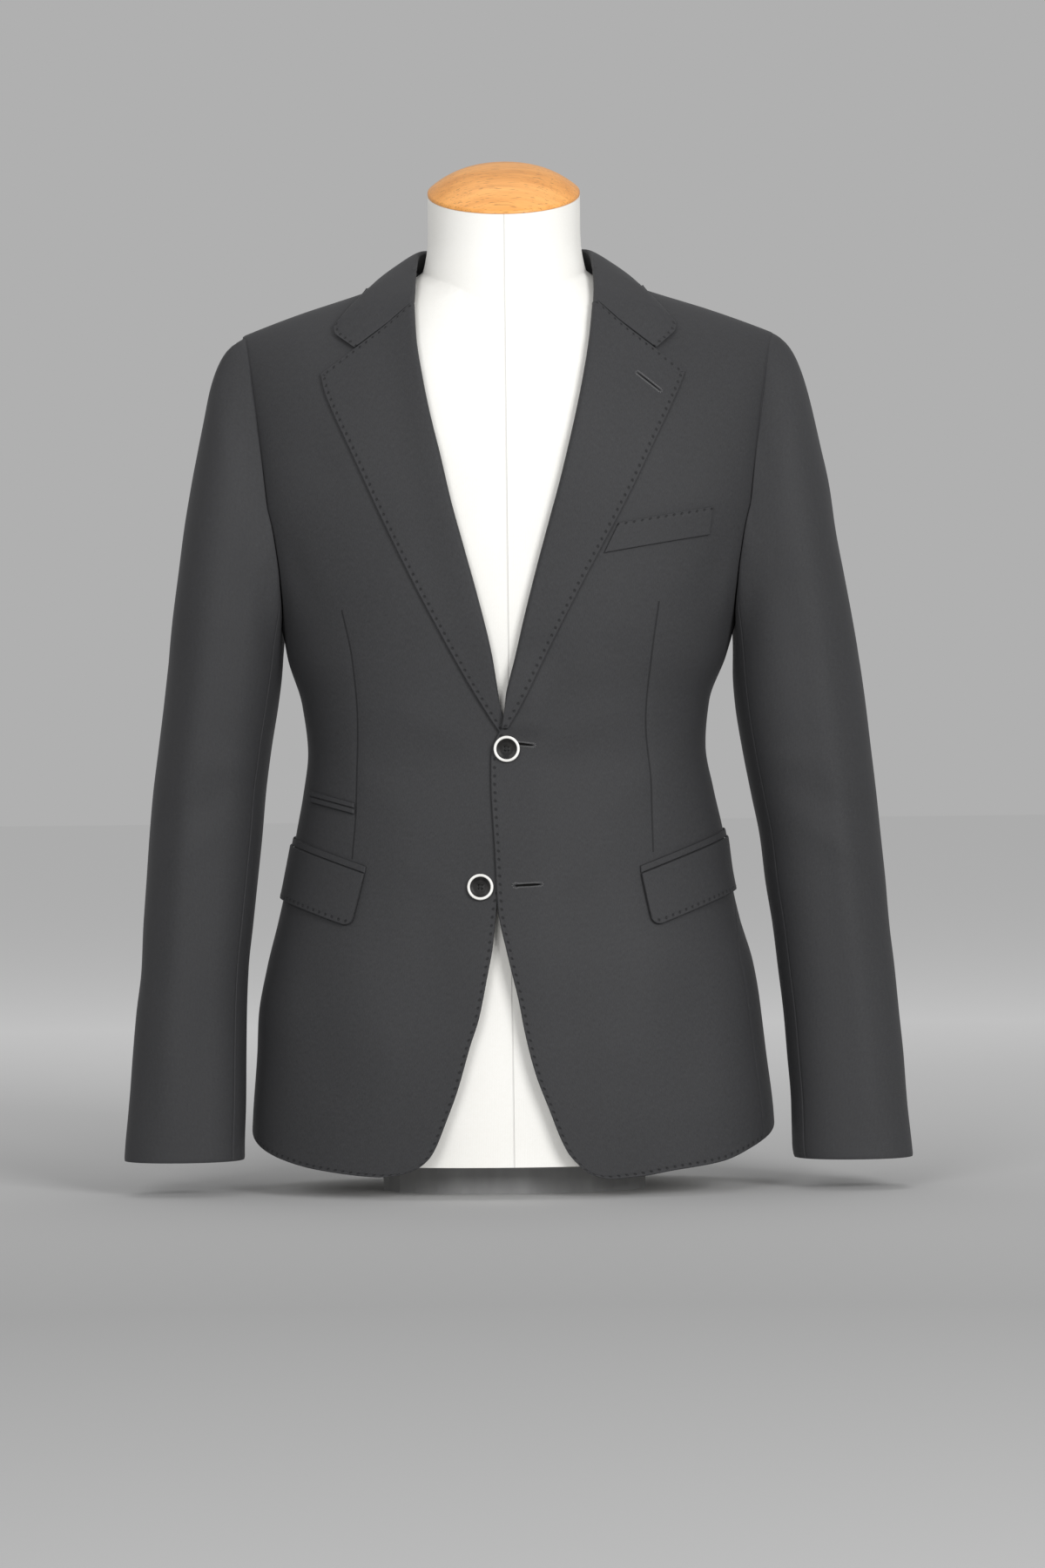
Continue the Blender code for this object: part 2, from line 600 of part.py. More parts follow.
def make_lapel(side):
    """The lapel, rolled round the front's edge and lying on the front."""
    outer, inner = [], []
    for rise in spread(0, 1, LAPEL_ROWS):
        (roll_x, roll_z), (edge_x, edge_z) = lapel_row(side, rise)
        point, normal, inward = surface_frame(side, roll_x, roll_z)
        height = lapel_lift(side, roll_x, roll_z, 0)
        base = front_lift(roll_x, roll_z) if side > 0 else 0.0
        radius = (height - base + WALL) / 2
        centre = point + normal * (height - radius)
        outer_line, inner_line = [], []
        closed = ease(roll_z, *WRAP_FROM)
        for angle, open_angle in zip(WRAP_ANGLES, WRAP_OPEN):
            turn = math.radians(angle * closed + open_angle * (1 - closed))
            way = inward * math.cos(turn) + normal * math.sin(turn)
            outer_line.append(centre + way * radius)
            inner_line.append(centre + way * (radius - WALL))
        for share in spread(0, 1, LAPEL_COLUMNS):
            x = roll_x * (1 - share) + edge_x * share
            z = roll_z * (1 - share) + edge_z * share
            point, normal, _ = surface_frame(side, x, z)
            raised = lapel_lift(side, x, z, abs(x - roll_x))
            outer_line.append(point + normal * raised)
            inner_line.append(point + normal * (raised - WALL))
        outer.append(outer_line)
        inner.append(inner_line)
    sheet("lapel_" + side_name(side), outer, inner)


def collar_half(side):
    """Fold points and outer edge points of half the collar, from the gorge to the back."""
    roll_x = abs(gorge_point(side, 0)[0])
    tip_x = abs(gorge_point(side, 1)[0])
    corner = (NOTCH_CORNER[0] - roll_x) / (tip_x - roll_x)
    gorge = []
    for share in spread(0, corner, COLLAR_COLUMNS):
        x, z = gorge_point(side, share)
        point, normal, _ = surface_frame(side, x, z + GORGE_GAP)
        gorge.append(point + normal * lapel_lift(side, x, z, abs(x - side * roll_x)))
    folds = [gorge[0]] + [Vector((side * spot[0], spot[1], spot[2])) for spot in FOLD]
    point, normal, _ = surface_frame(side, side * COLLAR_TIP[0], COLLAR_TIP[1])
    edge = [point + normal * (OVER + COLLAR_STAND_OFF)]
    for part, x, z in COLLAR_EDGE:
        if part == "ridge":
            spot = (side * across(side * x, RIDGE_LEVEL), RIDGE_LEVEL)
        elif x == 0:
            spot = (180.0, level_at(x, z))
        else:
            spot = place(side * x, z, back=part == "back")
        edge.append(body(*spot) + body_normal(*spot) * (OVER + COLLAR_STAND_OFF))
    edge[-1].x = 0.0
    return gorge, folds, edge


def clear_body(point, gap):
    """The point, moved out where it lies closer than gap to the body surface."""
    if point.z >= ridge_height(point.x) - 0.5 or abs(point.x) < 5:
        return point
    spot = place(point.x, point.z, back=point.y > 0)
    normal = body_normal(*spot)
    height = (point - body(*spot)).dot(normal)
    return point + normal * max(0.0, gap - height)


def collar_rows(side):
    """Outer points of half the fall and its frames, from the gorge to the middle of the back."""
    gorge, fold_points, edge_points = collar_half(side)
    shares = [0.0, 0.06] + [0.06 + 0.94 * step / (COLLAR_STEPS - 1) for step in range(1, COLLAR_STEPS)]
    folds = route(fold_points, shares)
    edges = [gorge[-1]] + route(edge_points, spread(0, 1, COLLAR_STEPS - 1))
    rows, frames = [], []
    for index, (fold, edge) in enumerate(zip(folds, edges)):
        ahead = folds[min(index + 1, len(folds) - 1)]
        behind = folds[max(index - 1, 0)]
        along = (ahead - behind).normalized()
        if index == 0:
            away = gorge[1] - gorge[0]
        else:
            away = Vector((fold.x, max(fold.y, -60.0) * 0.9, 0.0))
            if fold.y < 0:
                away = (edge - fold) * (-fold.y / 60) + away.normalized() * 20
        away = (away - along * away.dot(along)).normalized()
        if index == len(folds) - 1:
            away = Vector((0, 1, 0))
        up = along.cross(away) * side
        up = up if up.dot(Vector((0, -0.4, 1))) > 0 else -up
        line = []
        reach = (edge - fold).length
        for share in spread(0, 1, COLLAR_COLUMNS):
            controls = (fold, fold + away * FOLD_REACH,
                        edge + (Vector((0, 0, 1)) * 0.6 + (fold - edge).normalized()) * reach * EDGE_REACH,
                        edge)
            weights = ((1 - share) ** 3, 3 * share * (1 - share) ** 2, 3 * share ** 2 * (1 - share),
                       share ** 3)
            point = Vector((0, 0, 0))
            for control, weight in zip(controls, weights):
                point += control * weight
            if 0 < share < 1:
                point = clear_body(point, OVER + COLLAR_STAND_OFF)
            line.append(point)
        if index == 0:
            line = gorge
        rows.append(line)
        frames.append((away, up))
    return rows, frames


def grid_normals(grid):
    """Directions square to a grid of points."""
    normals = []
    for row, line in enumerate(grid):
        above = grid[min(row + 1, len(grid) - 1)]
        below = grid[max(row - 1, 0)]
        normal_line = []
        for column in range(len(line)):
            ahead = line[min(column + 1, len(line) - 1)]
            behind = line[max(column - 1, 0)]
            normal_line.append((ahead - behind).cross(above[column] - below[column]).normalized())
        normals.append(normal_line)
    return normals


def make_collar():
    """The fall, turned over at the fold, and the stand that carries it."""
    rows, frames = collar_rows(-1)
    left_rows, left_frames = collar_rows(1)
    rows += left_rows[-2::-1]
    frames += left_frames[-2::-1]
    normals = grid_normals(rows)
    outer, inner = [], []
    stand_tops = []
    for line, normal_line, (away, up) in zip(rows, normals, frames):
        centre = line[0] - up * FOLD_RADIUS
        outer_line, inner_line = [], []
        for turn in (180, 135, 90):
            way = away * math.cos(math.radians(turn)) + up * math.sin(math.radians(turn))
            outer_line.append(centre + way * FOLD_RADIUS)
            inner_line.append(centre + way * (FOLD_RADIUS - WALL))
        for point, normal in zip(line[1:], normal_line[1:]):
            normal = normal if normal.dot(away + up) > 0 else -normal
            outer_line.append(point)
            inner_line.append(point - normal * WALL)
        outer.append(outer_line)
        inner.append(inner_line)
        stand_tops.append((outer_line[0] - up * SEAM, inner_line[0] - up * SEAM))
    sheet("collar_fall", outer, inner)

    count = len(stand_tops)
    middle = count // 2
    first = int(round(STAND_START * middle))
    face, back = [], []
    for index in range(first, count - first):
        side = -1 if index < middle else 1
        share = (min(index, count - 1 - index) - first) / (middle - first)
        foot = route([Vector((side * x, y, z)) for x, y, z in STAND_FOOT], (share,))[0]
        top, top_back = stand_tops[index]
        thick = (top_back - top)
        flat = Vector((thick.x, thick.y, 0)).normalized() * WALL
        face.append([foot, foot.lerp(top, 0.5), top])
        back.append([foot + flat, (foot + flat).lerp(top_back, 0.5), top_back])
    sheet("collar_stand", face, back)


def sleeve_point(side, turn, height):
    """Point of the sleeve's outer surface; turn is 0 outside, -90 in front, 180 inside."""
    table = SLEEVE_LEFT if side > 0 else SLEEVE_RIGHT
    inner, outer, half_depth, depth_middle = read(table, height)
    ahead = math.cos(math.radians(turn))
    aside = math.sin(math.radians(turn))
    reach = (abs(ahead) ** SLEEVE_POWER + abs(aside) ** SLEEVE_POWER) ** (-1 / SLEEVE_POWER)
    x = (inner + outer) / 2 + (outer - inner) / 2 * ahead * reach
    return Vector((side * x, depth_middle + half_depth * aside * reach, height))


def armhole_ring(side):
    """Angle, level and sleeve turn round the armhole, from under the arm round by the front."""
    ring = [(side * row[0], row[2], -row[3]) for row in ARMHOLE]
    ring += [(side * row[1], row[2], row[3]) for row in ARMHOLE[-2::-1]]
    return ring


def sleeve_grid(side):
    """Outer and inner points of the whole sleeve, a line for each place round the armhole."""
    ring = armhole_ring(side)
    spots = [body(angle, level) for angle, level, _ in ring]
    centre = Vector((side * 205.0, 0.0, 590.0))
    table = SLEEVE_LEFT if side > 0 else SLEEVE_RIGHT
    cuff = table[0][0]
    lines, starts = [], []
    for index, (angle, level, turn) in enumerate(ring):
        normal = body_normal(angle, level)
        before = spots[index - 1] if index else spots[-2]
        after = spots[index + 1] if index + 1 < len(spots) else spots[1]
        along = (after - before).normalized()
        inwards = normal.cross(along).normalized()
        if inwards.dot(centre - spots[index]) < 0:
            inwards = -inwards
        under = ease(abs(turn), 125, 150)
        start = spots[index] + inwards * SEAM + normal * ARMPIT_STAND_OFF * under
        starts.append((start, normal))
        line = []
        for share in SLEEVE_ROWS:
            height = start.z + (cuff - start.z) * share
            drop = start.z - height
            hang = sleeve_point(side, turn, height)
            line.append(hang + (start - sleeve_point(side, turn, start.z))
                        * math.exp(-(drop / HEAD_FADE) ** 2))
        lines.append(line)
    normals = grid_normals(lines)
    normals[0] = [(first + last).normalized() for first, last in zip(normals[0], normals[-1])]
    normals[-1] = normals[0]
    inner = []
    for index, (line, normal_line) in enumerate(zip(lines, normals)):
        turn = ring[index][2]
        inner_line = []
        for row, (point, normal) in enumerate(zip(line, normal_line)):
            outward = Vector((side * math.cos(math.radians(turn)), math.sin(math.radians(turn)), 0.2))
            normal = normal if normal.dot(outward) > 0 else -normal
            if row == 0:
                over = 1 - ease(abs(turn), 75, 112)
                normal = (starts[index][1] * over + normal * (1 - over)).normalized()
            inner_line.append(point - normal * WALL)
        inner.append(inner_line)
    return lines, inner


def make_sleeve(side):
    """The top and under sleeve, sewn together in front and behind."""
    outer, inner = sleeve_grid(side)
    last = len(outer) - 1
    front, back = SLEEVE_SEAM_FRONT, last - SLEEVE_SEAM_BACK
    parts = {"top": range(front, back + 1), "under": list(range(back, last)) + list(range(front + 1))}
    for part, columns in parts.items():
        columns = list(columns)
        faces = [[point.copy() for point in outer[column]] for column in columns]
        backs = [[point.copy() for point in inner[column]] for column in columns]
        for end, neighbour in ((0, 1), (-1, -2)):
            for lines in (faces, backs):
                for point, other in zip(lines[end], lines[neighbour]):
                    point += (other - point).normalized() * SEAM / 2
        sheet("sleeve_" + side_name(side) + "_" + part, faces, backs)


def rounded(distance, radius):
    """Rise of a rounded corner at a distance from its end."""
    if distance >= radius:
        return 0.0
    return radius - math.sqrt(radius ** 2 - (radius - distance) ** 2)


def strip_on_front(name, places, lift, wall):
    outer, inner = cloth(places, lambda angle, point: lift, wall)
    sheet(name, outer, inner)


def flap_top(table, x):
    return table["top"] + table["slope"] * (x - table["start"])


def make_flap(side):
    """The hip pocket's flap and the jetting above it, both lying on the panels."""
    table = FLAP_LEFT if side > 0 else FLAP_RIGHT
    first = across(side * table["start"], table["top"])
    columns = [0.0, 0.035, 0.11] + [0.11 + 0.78 * step / 6 for step in range(1, 7)] + [0.96, 1.0]
    angles = [first + (FLAP_END_ANGLE - first) * share for share in columns]
    tops = []
    for angle in angles:
        x = abs(body(side * angle, table["top"]).x)
        tops.append(flap_top(table, x) + 0.1 * max(0.0, angle - 85))
    run = [0.0]
    for index in range(1, len(angles)):
        step = body(side * angles[index], tops[index]) - body(side * angles[index - 1], tops[index - 1])
        run.append(run[-1] + step.length)
    rows, jet = [], []
    for share in spread(0, 1, FLAP_ROWS):
        line = []
        for angle, top, distance in zip(angles, tops, run):
            corner = rounded(min(distance, run[-1] - distance), FLAP_CORNER)
            low = top - FLAP_HEIGHT + corner
            slant = gap_angle(side * angle, top, table["slant"]) * (1 - share) * (1 - distance / run[-1])
            line.append((side * (angle + slant), low + (top - low) * share))
        rows.append(line)
    strip_on_front("flap_" + side_name(side), rows, OVER + FLAP_STAND_OFF, WALL)
    for height in (SEAM + 0.1, SEAM + 0.1 + JET_HEIGHT):
        jet.append([(side * angle, top + height) for angle, top in zip(angles, tops)])
    strip_on_front("jet_" + side_name(side), jet, LAY + JET_WALL, JET_WALL)


def make_ticket_pocket():
    """Two jets of the small pocket above the wearer's right hip pocket."""
    for name, base in (("lower", 0.0), ("upper", TICKET["height"] + SEAM)):
        grid = []
        for height in (base, base + TICKET["height"]):
            line = []
            for x in spread(TICKET["start"], TICKET["end"], 5):
                z = TICKET["top"] - TICKET["height"] * 2 + height + TICKET["slope"] * (x - TICKET["start"])
                line.append(place(-x, z))
            grid.append(line)
        strip_on_front("ticket_jet_" + name, grid, LAY + JET_WALL, JET_WALL)


def make_breast_welt():
    """The breast pocket's welt, from under the lapel's edge towards the arm."""
    grid = []
    for share in (0.0, 0.5, 1.0):
        start = WELT["foot_start"] * (1 - share) + WELT["start"] * share
        line = []
        for x in spread(start, WELT["end"] - 3 * (1 - share), 7):
            z = WELT["top"] + WELT["slope"] * (x - WELT["start"]) - WELT["height"] * (1 - share)
            line.append(place(x, z))
        grid.append(line)
    strip_on_front("breast_welt", grid, LAY + JET_WALL, JET_WALL)


def make_button(name, spot, base):
    """A ring round a dished disc, standing just off the cloth."""
    x, z = spot
    point, normal, _ = surface_frame(1, x, z)
    seat = point + normal * (base + BUTTON_STAND_OFF)
    aside = Vector((0, 0, 1)).cross(normal).normalized()
    upward = normal.cross(aside)
    inside = BUTTON_RADIUS - RING_WIDTH
    disc = inside - SEAM

    def ring(radius, height):
        points = []
        for step in range(BUTTON_STEPS):
            turn = 2 * math.pi * step / BUTTON_STEPS
            points.append(seat + normal * height + aside * radius * math.cos(turn)
                          + upward * radius * math.sin(turn))
        return points

    profile = ((inside, 0.0), (BUTTON_RADIUS - 0.6, 0.0), (BUTTON_RADIUS, 0.9),
               (BUTTON_RADIUS - 0.3, BUTTON_HEIGHT - 0.5), (BUTTON_RADIUS - 1.0, BUTTON_HEIGHT),
               (inside + 0.3, BUTTON_HEIGHT - 0.2), (inside, BUTTON_HEIGHT - 0.8))
    mesh = bmesh.new()
    loops = [[mesh.verts.new(point) for point in ring(*spot)] for spot in profile]
    for low, high in zip(loops, loops[1:] + loops[:1]):
        add_strip(mesh, low + [low[0]], high + [high[0]])
    finish(name + "_ring", mesh, RING_COLOUR, 0.35)
    rings = [ring(disc, 0.2), ring(disc, BUTTON_HEIGHT - 1.3), ring(disc - 1.8, BUTTON_HEIGHT - 1.9)]
    turned(name + "_disc", rings, DISC_COLOUR, 0.4)


def form_ring(level):
    """One ring of the form's torso: the front, a plate at the arm, the back and a plate again."""
    inset = WALL + read(FORM_CLEARANCE, level)[0]
    tuck = FORM_TUCK * (1 - ease(level, FORM_BOTTOM, FORM_TUCK_TOP))

    def inside(angle):
        depth = inset + tuck * math.sin(math.radians(angle)) ** 2
        point = body(angle, level) - body_normal(angle, level) * depth
        if level == FORM_ROWS[0]:
            point.z = FORM_BOTTOM
        return point

    flat = ease(level, PLATE_FROM, PLATE_TO)
    ring = []
    for half in (1, -1):
        for step in range(FORM_FRONT_STEPS + 1):
            angle = -FORM_LIMIT + 2 * FORM_LIMIT * step / FORM_FRONT_STEPS
            ring.append(inside(angle if half > 0 else angle + 180))
        start = inside(half * FORM_LIMIT)
        end = inside(half * (180 - FORM_LIMIT))
        for index, angle in enumerate(FORM_PLATE):
            share = (index + 1) / (len(FORM_PLATE) + 1)
            plate = start.lerp(end, share)
            gap = (end - start).length
            plate.x += half * min(PLATE_BULGE, gap / 6) * math.sin(math.pi * share)
            turn = angle if half > 0 else angle + 180
            ring.append(inside(turn).lerp(plate, flat))
    return ring


def neck_top(x, y):
    return NECK_TOP + NECK_TILT * y


def make_form():
    """Torso with its neck column, the wooden cap and the foot."""
    rings = [form_ring(level) for level in FORM_ROWS]
    torso = turned("form_torso", rings, FORM_COLOUR, 0.8, open_top=True)

    def circle(radius):
        turns = [2 * math.pi * step / NECK_STEPS for step in range(NECK_STEPS)]
        return [(radius * math.cos(turn), radius * math.sin(turn)) for turn in turns]

    rings = [[Vector((x, y, height)) for x, y in circle(radius)] for height, radius in NECK_RINGS]
    rings.append([Vector((x, y, neck_top(x, y))) for x, y in circle(NECK_RADIUS)])
    neck = turned("neck_column", rings, FORM_COLOUR, 0.8)
    join = torso.modifiers.new("neck", "BOOLEAN")
    join.operation = "UNION"
    join.solver = "EXACT"
    join.object = neck
    neck.hide_render = True
    neck.display_type = "WIRE"

    rings = []
    for share in (1.0,) + tuple(1 - step / CAP_RINGS for step in range(CAP_RINGS)):
        height = SEAM if not rings else CAP_EDGE + CAP_DOME * (1 - share ** 2)
        radius = NECK_RADIUS * share
        rings.append([Vector((x, y, neck_top(x, y) + height)) for x, y in circle(radius)])
    turned("neck_cap", rings, WOOD_COLOUR, 0.35)

    outline = [body(360.0 * step / FOOT_STEPS, FORM_BOTTOM) for step in range(FOOT_STEPS)]
    rings = []
    for height in (0.0, FORM_BOTTOM - SEAM):
        rings.append([Vector((point.x * FOOT_SCALE, point.y * FOOT_SCALE, height)) for point in outline])
    turned("form_foot", rings, FOOT_COLOUR, 0.6)


def clear_scene():
    for thing in list(bpy.data.objects):
        bpy.data.objects.remove(thing, do_unlink=True)


def main():
    clear_scene()
    make_form()
    for side in (1, -1):
        make_front(side)
        make_side(side)
        make_back(side)
        make_lapel(side)
        make_sleeve(side)
        make_flap(side)
    make_collar()
    make_breast_welt()
    make_ticket_pocket()
    make_button("button_upper", BUTTON_UPPER, front_lift(*BUTTON_UPPER))
    make_button("button_lower", BUTTON_LOWER, 0.0)


main()
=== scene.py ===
"""Looks of a two-button suit jacket on a limbless dress form.

Every cloth piece is a thin shell on the same body surface as its solid. A place on that surface is
an angle round the body (0 at the front, +90 at the wearer's left, 180 at the back) and a level.
Sizes are millimetres and degrees until a mesh is made, which is in metres.
"""
import math

import bmesh
import bpy
import numpy as np
from mathutils import Matrix, Vector


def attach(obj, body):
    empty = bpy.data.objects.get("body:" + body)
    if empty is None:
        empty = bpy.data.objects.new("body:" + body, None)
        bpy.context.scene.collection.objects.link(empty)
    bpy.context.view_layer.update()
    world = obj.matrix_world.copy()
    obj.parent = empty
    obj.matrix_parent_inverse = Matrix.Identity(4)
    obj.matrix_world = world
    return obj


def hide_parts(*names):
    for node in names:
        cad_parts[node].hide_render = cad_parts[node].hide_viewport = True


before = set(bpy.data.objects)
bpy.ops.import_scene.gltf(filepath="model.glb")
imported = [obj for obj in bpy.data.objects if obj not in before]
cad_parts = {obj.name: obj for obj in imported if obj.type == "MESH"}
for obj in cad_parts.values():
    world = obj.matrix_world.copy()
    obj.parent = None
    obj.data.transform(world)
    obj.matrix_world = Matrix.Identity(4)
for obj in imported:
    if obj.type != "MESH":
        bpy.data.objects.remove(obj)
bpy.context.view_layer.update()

MM = 0.001

# Cloth and gaps
WALL = 2.0
THIN_WALL = 1.4
SEAM = 0.06
LAY = 0.7
OVER = WALL + LAY
EDGE_RECESS = 2.0
RECESS_FROM = (366.0, 380.0)
LAPEL_PUFF = 2.6
PUFF_WIDTH = 15.0
SEAM_DIP = 0.4
SEAM_WIDTH = 2.2
DART_DIP = 0.45

# Pick stitches, and the sewn buttonholes and buttons
STITCH_PITCH = 6.7
STITCH_INSET = 3.0
WELT_INSET = 1.6
STITCH_SIZE = (1.5, 0.42, 0.34)
STITCH_REACH = 1.9
PULL_REACH = 2.5
BUTTON_RADIUS = 10.5
RING_WIDTH = 2.2
BUTTON_HEIGHT = 3.4
BUTTON_STAND_OFF = 0.45
BUTTON_UPPER = (-2.3, 361.3)
BUTTON_LOWER = (-24.6, 250.6)
HOLE_PLACE = 1.75
HOLE_RADIUS = 0.8
DISH = ((0.5, 0.0), (1.5, -0.7), (1.2, -0.1))
STRANDS = ((45, 1.32), (135, 1.55))
STRANDS_BESIDE = (-0.42, 0.0, 0.42)
STRAND_SIZE = (HOLE_PLACE + 0.35, 0.24, 0.62)
ORDER_BY = Vector((1, 100, 10000))
BUTTONHOLES = {
    "upper": ((-1.5, 366.4), (19.4, 364.0)),
    "lower": ((2.9, 251.6), (24.2, 252.5)),
    "lapel": ((106.7, 664.1), (125.0, 649.3)),
}

# The body surface: level, middle, half width, depth in front and behind, squareness
CHEST_LEVEL = 560.0
RIDGE_LEVEL = 660.0
BODY = (
    (0, -0.5, 217.5, 129, 128, 2.35),
    (60, -0.6, 215.0, 129, 127, 2.35),
    (112, -1.5, 210.0, 128, 126, 2.35),
    (148, -2.5, 207.0, 126, 124, 2.35),
    (184, -1.9, 200.5, 124, 122, 2.35),
    (220, -2.5, 190.5, 121, 117, 2.35),
    (256, -2.2, 182.5, 118, 110, 2.35),
    (292, -1.0, 176.5, 116, 104, 2.35),
    (328, -1.5, 169.2, 113, 98, 2.35),
    (362, -2.5, 164.2, 111, 96, 2.35),
    (400, -3.0, 168.1, 113, 99, 2.35),
    (436, -1.5, 180.5, 116, 106, 2.35),
    (462, 0.0, 187.0, 118, 110, 2.38),
    (500, 1.0, 200.0, 119, 116, 2.42),
    (545, 1.5, 211.0, 119, 121, 2.50),
    (600, 2.0, 222.0, 116, 121, 2.58),
    (640, 2.3, 231.0, 112, 118, 2.60),
    (660, 2.5, 236.0, 110, 116, 2.60),
)
RIDGE = ((0, 796), (40, 782), (60, 768), (80, 753), (116, 740), (172, 722), (222.5, 703), (240, 695))

# Hem: angle and height. Seams: height and angle
HEM_LEFT = ((20, 15.0), (28, 17.4), (34, 20.7), (48, 26.4), (60, 36.0), (67, 41.0), (90, 54.0))
HEM_RIGHT = ((20, 18.0), (28, 18.4), (44, 23.5), (56, 30.2), (68, 38.0), (90, 53.0))
HEM_BACK = ((90, 54.0), (116, 55.0), (180, 50.0))
SIDE_SEAM_LEFT = ((42, 66.8), (150, 66.0), (185, 66.0), (220, 74.0), (245, 84.0), (265, 87.0),
                  (400, 86.0), (464.5, 80.0))
SIDE_SEAM_RIGHT = ((42, 88.0), (265, 88.0), (400, 86.0), (464.5, 80.0))
BACK_SEAM = ((54, 114.0), (250, 112.5), (362, 111.0), (473, 108.5))
VENT_TOP = 262.0
VENT_FULL = 236.0
VENT_LIFT_TOP = 292.0
VENT_LAP = 6.0
VENT_LIFT = 3.2
VENT_NEAR = (92.0, 103.0)

# Armhole: angle in front and behind, level of the body, angle round the sleeve
ARMHOLE = (
    (90.0, 90.0, 462.0, 180.0),
    (80.0, 99.0, 464.5, 169.0),
    (71.5, 108.5, 473.0, 157.0),
    (65.5, 115.0, 490.0, 144.0),
    (61.8, 118.0, 515.0, 130.0),
    (60.2, 119.5, 545.0, 116.0),
    (61.0, 119.2, 572.0, 102.0),
    (62.2, 118.4, 592.0, 87.0),
    (62.8, 118.0, 610.0, 71.0),
    (62.6, 118.0, 626.0, 55.0),
    (62.2, 118.2, 640.0, 38.0),
    (61.8, 118.4, 650.0, 20.0),
    (61.4, 118.6, 660.0, 0.0),
)

# Rows of the panels: heights at the side seam, and heights at the front edge
SEAM_ROWS = (66, 92, 120, 150, 182, 212, 236, 262, 292, 325, 362, 400, 434)
EDGE_ROWS = (34, 56, 84, 116, 150, 184, 212, 236, 262, 292, 325, 358, 384,
             420, 458, 496, 536, 576, 616, 654, 690, 716, 735, 748, 753)

# Front edges from the hem's round to the neck: height and distance from the middle
EDGE_LEFT = (
    (20.5, 60.0), (26.6, 52.6), (38.6, 42.5), (74.3, 27.8), (101, 17.9), (133, 9.9), (159, 5.1),
    (195, -3.3), (234, -10.9), (282, -13.0), (336, -15.4), (354, -15.2), (373, -10.2), (382, -5.4),
    (400, -1.1), (438, 9.2), (476, 18.7), (514, 28.8), (544, 37.2), (578, 46.8), (614, 55.8),
    (640, 61.7), (671, 67.6), (693, 71.0), (719, 73.3), (735, 76.0), (753, 80.0),
)
EDGE_RIGHT = (
    (23, -83.0), (28, -74.0), (37, -65.6), (65, -53.4), (88, -44.7), (124, -34.0), (145, -27.0),
    (183, -19.0), (200, -15.6), (238, -10.9), (252, -6.0), (275, 2.0), (310, 10.0), (345, 14.0),
    (362, 12.5), (374, 5.0), (386, -3.5), (400, -8.7), (438, -16.7), (480, -26.7), (529, -39.7),
    (560, -47.9), (597, -56.2), (633, -64.6), (663, -70.2), (693, -74.5), (716, -76.0),
    (735, -77.0), (753, -80.0),
)
CORNER_SHARE = 0.12
OVERLAP_LOW = (120.0, 205.0)
OVERLAP_HIGH = (394.0, 450.0)
OVERLAP_SIDE = (20.0, 48.0)
PASS_LIFT = 2.5
PASS_LOW = (367.0, 382.0)
PASS_HIGH = (398.0, 446.0)
PASS_SIDE = (14.0, 40.0)

# Lapels: height and distance from the middle, from the break up to the gorge
ROLL_LEFT = ((378, -5.0), (400, -1.1), (438, 9.2), (476, 18.7), (514, 28.8), (544, 37.2),
             (578, 46.8), (614, 55.8), (640, 61.7), (671, 67.6), (693, 71.0), (722, 74.0))
OUTER_LEFT = ((378, -1.2), (396, 9.4), (434, 28.7), (476, 50.4), (526, 77.4), (548, 89.4),
              (578, 105.0), (608, 119.5), (637, 133.4), (658, 142.8), (665, 145.4))
ROLL_RIGHT = ((374, 2.0), (386, -5.2), (400, -9.8), (438, -16.7), (480, -26.7), (529, -39.7),
              (560, -47.9), (597, -56.2), (633, -64.6), (663, -70.2), (693, -74.5), (721, -76.0))
OUTER_RIGHT = ((374, -7.5), (386, -15.4), (417, -34.0), (456, -55.2), (491, -73.4), (530, -92.3),
               (554, -103.4), (583, -116.4), (609, -128.0), (632, -138.4), (654, -146.9), (666, -149.5))
WRAP_START = -60.0
WRAP_OPEN = 50.0
WRAP_FROM = (388.0, 430.0)

# Collar: the fold's route from the gorge to the middle of the back, then the outer edge
FOLD = ((75.5, -52.0, 740.0), (74.5, -28.0, 758.0), (73.0, -2.0, 770.5), (66.5, 28.0, 777.5),
        (48.0, 55.0, 780.0), (25.0, 71.0, 781.0), (0.0, 76.0, 781.0))
NOTCH_CORNER = (122.0, 685.5)
COLLAR_TIP = (142.0, 701.5)
COLLAR_EDGE = (("front", 131.0, 716.0), ("front", 117.5, 731.2), ("ridge", 105.0, 0.0),
               ("back", 95.0, 737.5), ("back", 75.0, 731.5), ("back", 50.0, 728.0),
               ("back", 25.0, 726.5), ("back", 0.0, 726.0))
GORGE_GAP = 0.35
GORGE_RADIUS_MORE = 1.2
GORGE_WRAP_MORE = 60.0
COLLAR_STAND_OFF = 0.9
RIDGE_HUG = 0.6
FOLD_RADIUS = 2.4
FOLD_REACH = 7.0
EDGE_REACH = 0.25
STAND_START = 0.2
STAND_FOOT = ((76.5, -33.0, 747.0), (77.0, -4.0, 755.5), (70.5, 28.0, 755.0), (52.5, 53.0, 750.0),
              (27.0, 69.0, 745.5), (0.0, 73.5, 744.5))
BACK_NECK = ((0.0, 741.5), (36.0, 743.6), (60.0, 747.4), (71.0, 750.6), (80.0, 753.0))
SHOULDER_END = 222.0

